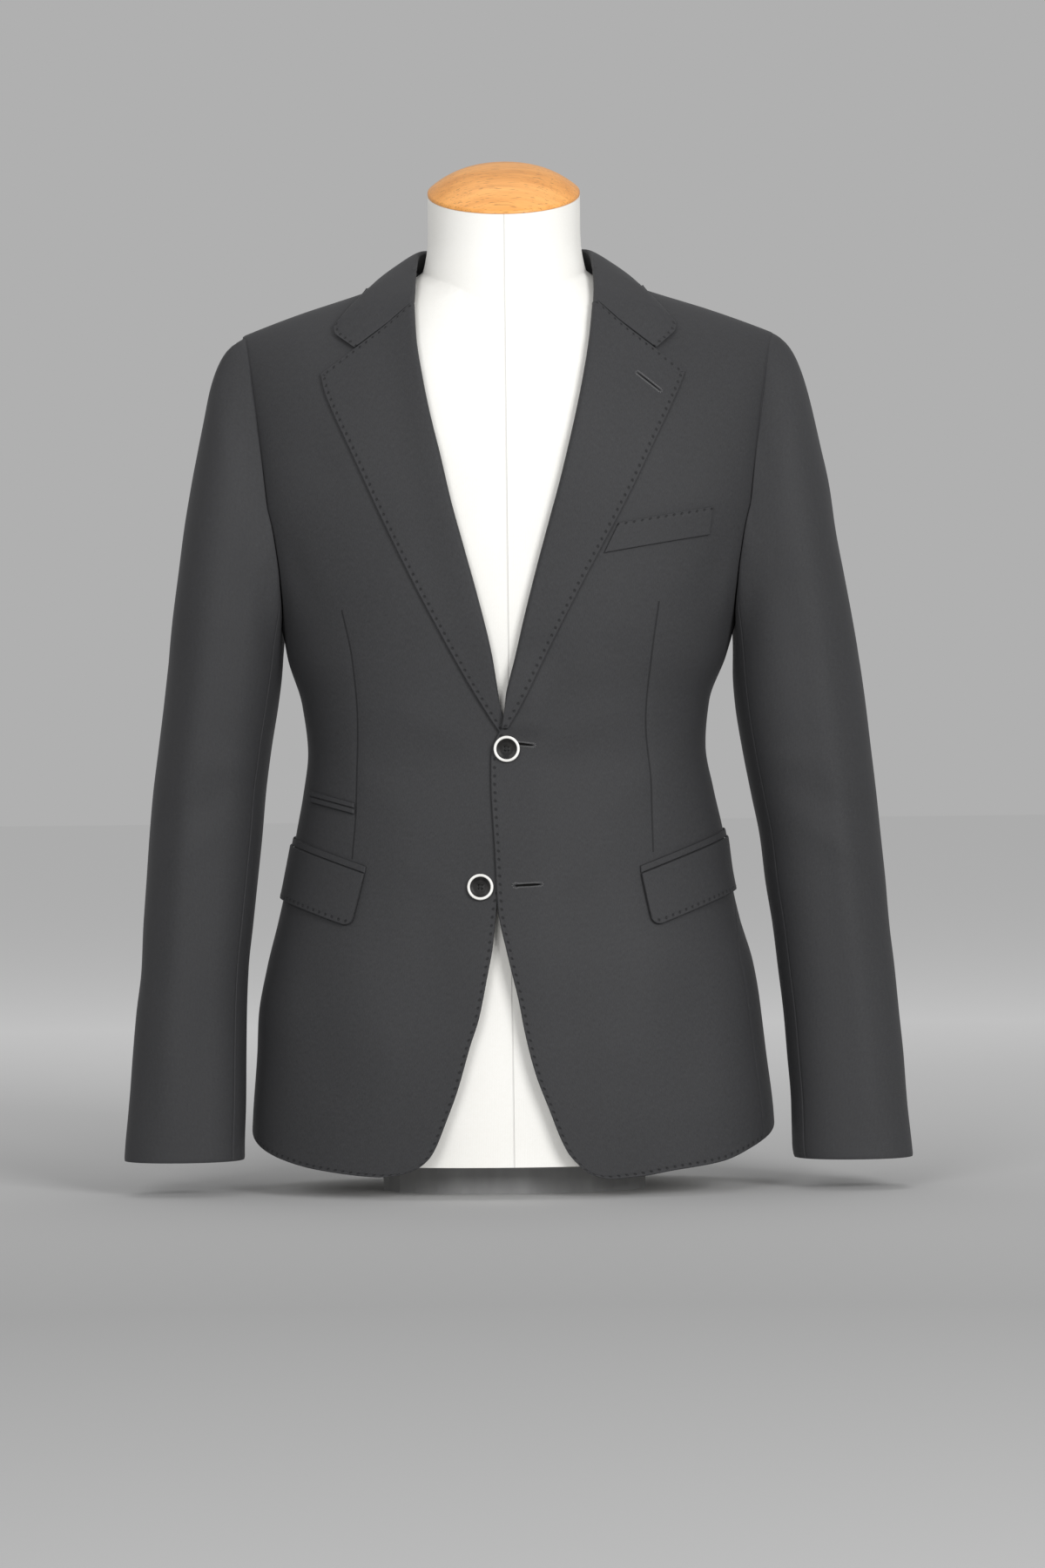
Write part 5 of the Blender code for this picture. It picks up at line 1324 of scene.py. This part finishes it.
def make_wood():
    """Warm turned wood: long grain with pores, under a clear lacquer."""
    material, tree, shader = start_material("warm_wood", 0.42, Coat_Weight=0.06, Coat_Roughness=0.25,
                                            Specular_IOR_Level=0.22)
    place = object_place(tree)
    figure = noise(tree, place, 16.0, (0.35, 2.2, 1.0), 4.0)
    grain = noise(tree, place, 150.0, (0.12, 1.6, 1.0), 3.0)
    pores = noise(tree, place, 900.0, (0.1, 1.0, 1.0), 1.0)
    tone = blend(tree, figure, 0.55, grain, 0.45)
    colour = ramp(tree, tone, (0.70, 0.295, 0.075), (0.92, 0.44, 0.13), 0.32, 0.62)
    pored = maths(tree, "MULTIPLY", fade(tree, pores, 0.30, 0.40), 0.35)
    tree.links.new(darken_for_painted_shade_and_pores(tree, colour, pored), shader.inputs["Base Color"])
    roughen(tree, shader, grain, 0.14, 0.27)
    bump(tree, shader, maths(tree, "SUBTRACT", grain, pored), 0.00006)
    return material


def make_moulded(name, dark, light, roughness, coat, scale):
    """Moulded or cut button material with a faint cloud and fine wear."""
    material, tree, shader = start_material(name, roughness, Coat_Weight=coat, Coat_Roughness=0.15,
                                            Specular_IOR_Level=0.18)
    place = object_place(tree)
    cloud = noise(tree, place, scale, (1, 1, 0.4))
    wear = noise(tree, place, scale * 9)
    tree.links.new(ramp(tree, cloud, dark, light), shader.inputs["Base Color"])
    roughen(tree, shader, wear, 0.18, roughness - 0.09)
    bump(tree, shader, wear, 0.00002)
    return material


def make_form():
    """Torso and neck of the dress form, joined and smoothed."""
    levels = np.concatenate([np.linspace(FORM_BOTTOM, 640, 60), np.linspace(644, RIDGE_LEVEL, 8)])
    turns = np.linspace(0, 360, 181)[:-1]
    rings = []
    for level in levels:
        inset = WALL + float(column(FORM_CLEARANCE, level))
        tuck = FORM_TUCK * (1 - ease(level, FORM_BOTTOM, FORM_TUCK_TOP)) * np.sin(np.radians(turns)) ** 2
        ring = body(turns, level) - body_normal(turns, level) * (inset + tuck)[:, None]
        flat = float(ease(level, PLATE_FROM, PLATE_TO))
        for half in (1, -1):
            ends = (half * FORM_LIMIT, half * (180 - FORM_LIMIT))
            start, end = (body(a, level) - body_normal(a, level) * inset for a in ends)
            signed = np.where(turns > 180, turns - 360, turns) * half
            inside = (signed > FORM_LIMIT) & (signed < 180 - FORM_LIMIT)
            share = ((signed - FORM_LIMIT) / (180 - 2 * FORM_LIMIT))[inside][:, None]
            plate = start * (1 - share) + end * share
            bulge = min(PLATE_BULGE, np.linalg.norm(end - start) / 6)
            plate[:, 0] += half * bulge * np.sin(np.pi * share[:, 0])
            ring[inside] = ring[inside] * (1 - flat) + plate * flat
        if level == FORM_BOTTOM:
            ring[:, 2] = FORM_BOTTOM
        rings.append(ring)
    torso = closed_rings("form_torso_jersey", np.array(rings))
    around = np.radians(np.linspace(0, 360, 97)[:-1])
    circle = np.stack([np.cos(around), np.sin(around)], -1)
    heights = np.linspace(NECK_RINGS[0][0], NECK_RINGS[-1][0], 40)
    neck = [np.column_stack([circle * column(NECK_RINGS, height), np.full(len(circle), height)])
            for height in heights]
    top = circle * NECK_RADIUS
    neck.append(np.column_stack([top, NECK_TOP + NECK_TILT * top[:, 1]]))
    neck = closed_rings("neck_column", np.array(neck))
    combine(torso, "UNION", neck)
    torso.data.shade_smooth()
    torso.data.set_sharp_from_angle(angle=math.radians(50))
    return torso


def closed_rings(name, rings):
    """A closed solid through rings of equal length."""
    count, size = rings.shape[:2]
    index = np.arange(count * size).reshape(count, size)
    after = np.roll(index, -1, axis=1)
    quads = np.stack([index[:-1], after[:-1], after[1:], index[1:]], -1).reshape(-1, 4)
    faces = [tuple(int(v) for v in quad) for quad in quads]
    faces.append(tuple(int(v) for v in index[0][::-1]))
    faces.append(tuple(int(v) for v in index[-1]))
    mesh = bpy.data.meshes.new(name)
    mesh.from_pydata((rings.reshape(-1, 3) * MM).tolist(), [], faces)
    face_outwards(mesh, 1e-6)
    return add_object(name, mesh)


def only(thing):
    """Select one object and nothing else."""
    bpy.ops.object.select_all(action="DESELECT")
    thing.select_set(True)
    bpy.context.view_layer.objects.active = thing


def apply_modifiers(thing):
    only(thing)
    for modifier in list(thing.modifiers):
        bpy.ops.object.modifier_apply(modifier=modifier.name)


def combine(thing, operation, other):
    """Join a piece with another or cut it by the other, which is used up."""
    modifier = thing.modifiers.new(other.name, "BOOLEAN")
    modifier.operation = operation
    modifier.solver = "EXACT"
    modifier.object = other
    apply_modifiers(thing)
    bpy.data.objects.remove(other, do_unlink=True)


def smooth_by_angle(thing, angle=40):
    only(thing)
    bpy.ops.object.shade_smooth_by_angle(angle=math.radians(angle))


def place_on_cloth(thing, x, z, base):
    """Turn a piece modelled about the origin so that it lies on the front at x and z."""
    point, normal, _ = surface_frame(1, x, z)
    aside = unit(np.cross((0.0, 0.0, 1.0), normal))
    upward = np.cross(normal, aside)
    seat = (point + normal * (base + BUTTON_STAND_OFF)) * MM
    turned = Matrix((aside, upward, normal)).transposed().to_4x4()
    thing.matrix_world = Matrix.Translation(seat) @ turned
    only(thing)
    bpy.ops.object.transform_apply(location=True, rotation=True, scale=True)


def disc_primitive(name, radius, depth, sides=72):
    """A cylinder that stands on the origin."""
    bpy.ops.object.select_all(action="DESELECT")
    bpy.ops.mesh.primitive_cylinder_add(vertices=sides, radius=radius * MM, depth=depth * MM,
                                        location=(0, 0, depth / 2 * MM))
    thing = bpy.context.object
    thing.name = name
    thing.data.name = name
    bpy.ops.object.transform_apply(location=True, rotation=True, scale=True)
    return thing


def edit_faces(thing, wanted):
    """Open a piece for editing with the faces selected that a test wants."""
    only(thing)
    bpy.ops.object.mode_set(mode="EDIT")
    bpy.ops.mesh.select_mode(type="FACE")
    bpy.ops.mesh.select_all(action="DESELECT")
    shape = bmesh.from_edit_mesh(thing.data)
    for face in shape.faces:
        face.select_set(bool(wanted(face)))
    bmesh.update_edit_mesh(thing.data)


def close_edit(thing, angle=40):
    bpy.ops.object.mode_set(mode="OBJECT")
    smooth_by_angle(thing, angle)


def soften(thing, width, segments=3):
    """Round the sharp edges of a hard piece."""
    modifier = thing.modifiers.new("edges", "BEVEL")
    modifier.width = width * MM
    modifier.segments = segments
    modifier.limit_method = "ANGLE"
    modifier.angle_limit = math.radians(40)
    apply_modifiers(thing)


def make_button_ring(name):
    """The pale rim: a disc with both ends inset and joined through the middle."""
    ring = disc_primitive(name, BUTTON_RADIUS, BUTTON_HEIGHT)
    edit_faces(ring, lambda face: abs(face.normal.z) > 0.9)
    bpy.ops.mesh.inset(thickness=RING_WIDTH * MM)
    bpy.ops.mesh.bridge_edge_loops()
    close_edit(ring)
    soften(ring, 0.85, 5)
    return ring


def make_button_disc(name):
    """The dark dished middle with its four holes."""
    radius = BUTTON_RADIUS - RING_WIDTH - 0.05
    disc = disc_primitive(name, radius, BUTTON_HEIGHT - 1.2)
    edit_faces(disc, lambda face: face.normal.z > 0.9)
    for thickness, depth in DISH:
        bpy.ops.mesh.inset(thickness=thickness * MM, depth=depth * MM)
    close_edit(disc)
    for number in range(4):
        turn = math.radians(45 + 90 * number)
        cutter = disc_primitive("hole", HOLE_RADIUS, BUTTON_HEIGHT * 2, 20)
        cutter.location = (HOLE_PLACE * math.cos(turn) * MM, HOLE_PLACE * math.sin(turn) * MM,
                           -BUTTON_HEIGHT / 2 * MM)
        combine(disc, "DIFFERENCE", cutter)
    soften(disc, 0.18, 2)
    smooth_by_angle(disc)
    return disc


def order_key(part):
    """A number by which points, edges or faces can be put in order of place."""
    verts = [part] if isinstance(part, bmesh.types.BMVert) else part.verts
    return sum(vert.co.dot(ORDER_BY) for vert in verts) / len(verts)


def put_in_order(mesh):
    """Give a joined mesh the same order of points, edges and faces in each run."""
    shape = bmesh.new()
    shape.from_mesh(mesh)
    for parts in (shape.verts, shape.edges, shape.faces):
        parts.sort(key=order_key)
    shape.to_mesh(mesh)
    shape.free()


def make_button_thread(name):
    """Crossed strands through the four holes, joined as one piece."""
    strands = []
    for turn, lift in STRANDS:
        for beside in STRANDS_BESIDE:
            bpy.ops.object.select_all(action="DESELECT")
            bpy.ops.mesh.primitive_uv_sphere_add(segments=12, ring_count=8, radius=MM)
            strand = bpy.context.object
            angle = math.radians(turn)
            strand.scale = STRAND_SIZE
            strand.rotation_euler = (0, 0, angle)
            strand.location = (-beside * math.sin(angle) * MM, beside * math.cos(angle) * MM, lift * MM)
            bpy.ops.object.transform_apply(location=True, rotation=True, scale=True)
            strands.append(strand)
    bpy.ops.object.select_all(action="DESELECT")
    for strand in strands:
        strand.select_set(True)
    bpy.context.view_layer.objects.active = strands[0]
    bpy.ops.object.join()
    thread = bpy.context.object
    thread.name = name
    put_in_order(thread.data)
    bpy.ops.object.shade_smooth()
    return thread


def make_button(name, x, z, base):
    """A sewn button: pale rim, dark dished middle and its thread."""
    pieces = (make_button_ring(name + "_rim"), make_button_disc(name + "_middle"),
              make_button_thread(name + "_thread"))
    for piece in pieces:
        place_on_cloth(piece, x, z, base)
    return pieces


CAP_STEPS = 18
CAP_FULLNESS = 2.7


def make_cap():
    """The turned cap: a disc drawn up into a dome by insets, on the slanted top of the neck."""
    cap = disc_primitive("neck_cap_wood", NECK_RADIUS, CAP_EDGE - SEAM, 120)
    edit_faces(cap, lambda face: face.normal.z > 0.9)
    for step in range(CAP_STEPS):
        share, inner = 1 - step / CAP_STEPS, 1 - (step + 1) / CAP_STEPS
        thickness = NECK_RADIUS * (share - inner) * (1 if inner > 0 else 0.9)
        depth = CAP_DOME * (share ** CAP_FULLNESS - inner ** CAP_FULLNESS)
        bpy.ops.mesh.inset(thickness=thickness * MM, depth=depth * MM)
    close_edit(cap, 50)
    soften(cap, 0.9, 3)
    for vertex in cap.data.vertices:
        vertex.co.z += (NECK_TOP + SEAM) * MM + NECK_TILT * vertex.co.y
    smooth_by_angle(cap, 50)
    return cap


def on_grid(points, normals, x, z):
    """The place on a piece's face that the front view shows at x and z, and its normal."""
    apart = (points[..., 0] - x) ** 2 + (points[..., 2] - z) ** 2
    row, line = np.unravel_index(np.argmin(apart), apart.shape)
    near, normal = points[row, line], normals[row, line]
    y = near[1] - (normal[0] * (x - near[0]) + normal[2] * (z - near[2])) / normal[1]
    return np.array([x, y, z]), normal


BUTTONHOLE_PITCH = 0.75
BUTTONHOLE_SIDE = 1.5
SLIT_SIDE = {"upper": 1.0, "lower": 1.0, "lapel": 0.35}
SLIT_RISE = 0.32
SLIT_DEPTH = 0.5
BUTTONHOLE_BEAD = (1.6, 0.36, 0.42)
BUTTONHOLE_SINK = 0.02
EYE_PLACE = 1.2
EYE_REACH = 1.3


def eye_width(eye, distance):
    """How much the round eye widens a buttonhole at a distance from its start."""
    return eye * math.exp(-((distance - EYE_PLACE) / EYE_REACH) ** 2)


def make_buttonhole(name, points, normals, eye=0.0):
    """Close stitches all round a slit, with a round eye at its start, and a near-black piece in the slit
    as painted shade.
    """
    start, end = (np.array(place) for place in BUTTONHOLES[name])
    along = unit(end - start)
    beside = np.array([-along[1], along[0]])
    length = np.linalg.norm(end - start)
    places, lines_out = [], []
    for distance in np.arange(0, length + 0.01, BUTTONHOLE_PITCH):
        wide = BUTTONHOLE_SIDE + eye_width(eye, distance)
        for hand in (1, -1):
            places.append(start + along * distance + beside * hand * wide)
            lines_out.append(beside * hand)
    for stop, hand in ((start, -1), (end, 1)):
        for turn in (-50, 0, 50):
            angle = math.radians(turn)
            spread = along * hand * math.cos(angle) + beside * math.sin(angle)
            places.append(stop + spread * (BUTTONHOLE_SIDE + (eye * 0.6 if hand < 0 else 0)))
            lines_out.append(spread)
    found = [on_grid(points, normals, *place) for place in places]
    on_cloth = np.array([place for place, _ in found])
    facing = np.array([normal for _, normal in found])
    ahead = [on_grid(points, normals, *(place + line))[0] for place, line in zip(places, lines_out)]
    directions = unit(np.array(ahead) - on_cloth)
    threads = stitch_mesh("buttonhole_" + name + "_stitches", [(on_cloth, facing, directions)],
                          BUTTONHOLE_BEAD, BUTTONHOLE_SINK)

    # The slit: a near-black piece as painted shade in the cut
    outline = []
    for turn in np.radians(np.arange(0, 360, 15)):
        reach = math.cos(turn)
        wide = (SLIT_SIDE[name] + eye_width(eye, (reach + 1) * length / 2)) * math.sin(turn)
        outline.append(start + along * length * (0.5 + 0.49 * reach) + beside * wide)
    rim, facing = zip(*(on_grid(points, normals, *place) for place in outline))
    top = np.array(rim) + np.array(facing) * SLIT_RISE
    low = np.array(rim) - np.array(facing) * SLIT_DEPTH
    slit = closed_rings("buttonhole_" + name + "_slit", np.array([low, top]))
    return threads, slit


FLOOR_SIZE = 80.0
FLOOR_NEAR = 0.37
FLOOR_FAR = 0.95
FLOOR_MIDDLE = -2.6
FLOOR_REACH = 5.3
FLOOR_EVEN = 0.32


def make_stage():
    """A pale floor, lighter far away, where less of the light reaches it."""
    bpy.ops.object.select_all(action="DESELECT")
    bpy.ops.mesh.primitive_plane_add(size=FLOOR_SIZE, location=(0, 0, 0))
    floor = bpy.context.object
    floor.name = "floor"
    material, tree, shader = start_material("floor_grey", 0.95, Specular_IOR_Level=0.0)
    apart = tree.nodes.new("ShaderNodeVectorMath")
    apart.operation = "DISTANCE"
    tree.links.new(object_place(tree), apart.inputs[0])
    apart.inputs[1].default_value = (0, FLOOR_MIDDLE, 0)
    away = maths(tree, "DIVIDE", apart.outputs["Value"], FLOOR_REACH)
    tone = ramp(tree, away, (FLOOR_NEAR,) * 3, (FLOOR_FAR,) * 3, FLOOR_EVEN, 1.0)
    tree.links.new(tone, shader.inputs["Base Color"])
    set_material(floor, material)


CAMERA_X = 10.08
CAMERA_HEIGHT = 333.0
CAMERA_DISTANCE = 4000.0
CAMERA_ROLL = 0.65
PHOTO_HEIGHT = 1296.0

# Lights, in metres and watts: name, place, target, size and power
LIGHTS = (
    ("key", (2.0, -3.5, 1.6), (0, 0, 0.42), (1.6, 1.6), 102),
    ("fill", (-1.3, -3.9, 1.7), (0, 0, 0.42), (1.6, 1.6), 58),
    ("top", (0.0, 0.5, 3.4), (0, 0.1, 0.4), (2.6, 1.6), 14),
)
WORLD_GREY = (0.80, 0.80, 0.80)
WORLD_STRENGTH = 0.5425


def make_camera():
    data = bpy.data.cameras.new("camera")
    data.sensor_fit = "VERTICAL"
    data.angle = 2 * math.atan(PHOTO_HEIGHT / 2 / CAMERA_DISTANCE)
    camera = add_object("camera", data)
    camera.location = (CAMERA_X * MM, -CAMERA_DISTANCE * MM, CAMERA_HEIGHT * MM)
    camera.rotation_euler = (math.pi / 2, math.radians(CAMERA_ROLL), 0)
    bpy.context.scene.camera = camera


def area_light(name, place, target, size, power):
    data = bpy.data.lights.new(name, "AREA")
    data.shape = "RECTANGLE"
    data.size, data.size_y = size
    data.energy = power
    light = add_object(name, data)
    light.visible_camera = False
    light.location = place
    direction = np.array(target) - np.array(place)
    flat = math.hypot(direction[0], direction[1])
    light.rotation_euler = (math.atan2(flat, -direction[2]), 0, math.atan2(-direction[0], direction[1]))


def make_lights():
    for light in LIGHTS:
        area_light(*light)
    world = bpy.data.worlds.new("studio")
    world.use_nodes = True
    background = world.node_tree.nodes["Background"]
    background.inputs["Color"].default_value = (*WORLD_GREY, 1)
    background.inputs["Strength"].default_value = WORLD_STRENGTH
    bpy.context.scene.world = world
    bpy.context.scene.view_settings.view_transform = "Standard"


def finish_cloth(thing, node, *sewing):
    """Worsted on a cut piece, and its sewing with it."""
    settle(thing, "cloth", WORSTED, node)
    for piece in sewing:
        thread = SILK if piece.name.startswith("buttonhole") else THREAD
        settle(piece, "cloth", SLIT_SHADE if piece.name.endswith("_slit") else thread)


make_camera()
make_lights()
make_stage()
WEAVE = make_weave_group()
DIMPLES = make_stitch_group()
WORSTED = make_worsted()
# Pick stitch thread, darker than the cloth: partly its own charcoal, partly painted shade of the dimple
# round each stitch
THREAD = make_thread("charcoal_thread", (0.012, 0.012, 0.013), (0.034, 0.034, 0.036))
SILK = make_thread("buttonhole_silk", (0.06, 0.06, 0.061), (0.13, 0.13, 0.133), 0.3)
# Painted shade inside the buttonhole slits, made with the thread shader
SLIT_SHADE = make_thread("slit_shade", (0.002, 0.002, 0.002), (0.005, 0.005, 0.005), 0.0, 0.05)
BUTTON_THREAD = make_thread("black_thread", (0.012, 0.012, 0.012), (0.045, 0.045, 0.045))
RIM = make_moulded("pale_rim", (0.74, 0.73, 0.70), (0.90, 0.89, 0.86), 0.38, 0.3, 90.0)
MIDDLE = make_moulded("black_middle", (0.004, 0.004, 0.004), (0.016, 0.015, 0.014), 0.42, 0.03, 300.0)
FOOT = make_moulded("foot_grey", (0.28, 0.28, 0.28), (0.34, 0.34, 0.34), 0.7, 0.0, 60.0)
for side in (1, -1):
    name = side_name(side)
    front, front_stitches, points, normals = make_front(side)
    lapel, lapel_stitches, lapel_points, lapel_normals = make_lapel(side)
    front_sewing, lapel_sewing = [front_stitches], [lapel_stitches]
    if side > 0:
        front_sewing += make_buttonhole("upper", points, normals, 0.5)
        front_sewing += make_buttonhole("lower", points, normals, 0.7)
        lapel_sewing += make_buttonhole("lapel", lapel_points, lapel_normals)
    finish_cloth(front, "front_" + name, *front_sewing)
    finish_cloth(lapel, "lapel_" + name, *lapel_sewing)
    finish_cloth(make_side(side), "side_" + name)
    finish_cloth(make_back(side), "back_" + name)
    for part in ("top", "under"):
        finish_cloth(make_sleeve(side, part), "sleeve_" + name + "_" + part)
    flap, jet, flap_stitches = make_flap(side)
    finish_cloth(flap, "flap_" + name, flap_stitches)
    finish_cloth(jet, "jet_" + name)
fall, stand, collar_stitches = make_collar()
finish_cloth(fall, "collar_fall", collar_stitches)
finish_cloth(stand, "collar_stand")
for thing, node in zip(make_ticket_pocket(), ("ticket_jet_lower", "ticket_jet_upper")):
    finish_cloth(thing, node)
welt, welt_stitches = make_breast_welt()
finish_cloth(welt, "breast_welt", welt_stitches)
for name, (x, z), base in (("button_upper", BUTTON_UPPER, float(front_lift(*BUTTON_UPPER))),
                           ("button_lower", BUTTON_LOWER, 0.0)):
    rim, middle, thread = make_button(name, x, z, base)
    settle(rim, "button_ring", RIM, name + "_ring")
    settle(middle, "button_disc", MIDDLE, name + "_disc")
    settle(thread, "button_disc", BUTTON_THREAD)
settle(make_form(), "form_jersey", make_jersey(), "form_torso")
settle(make_cap(), "wood", make_wood(), "neck_cap")
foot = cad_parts["form_foot"]
foot.material_slots[0].material = FOOT
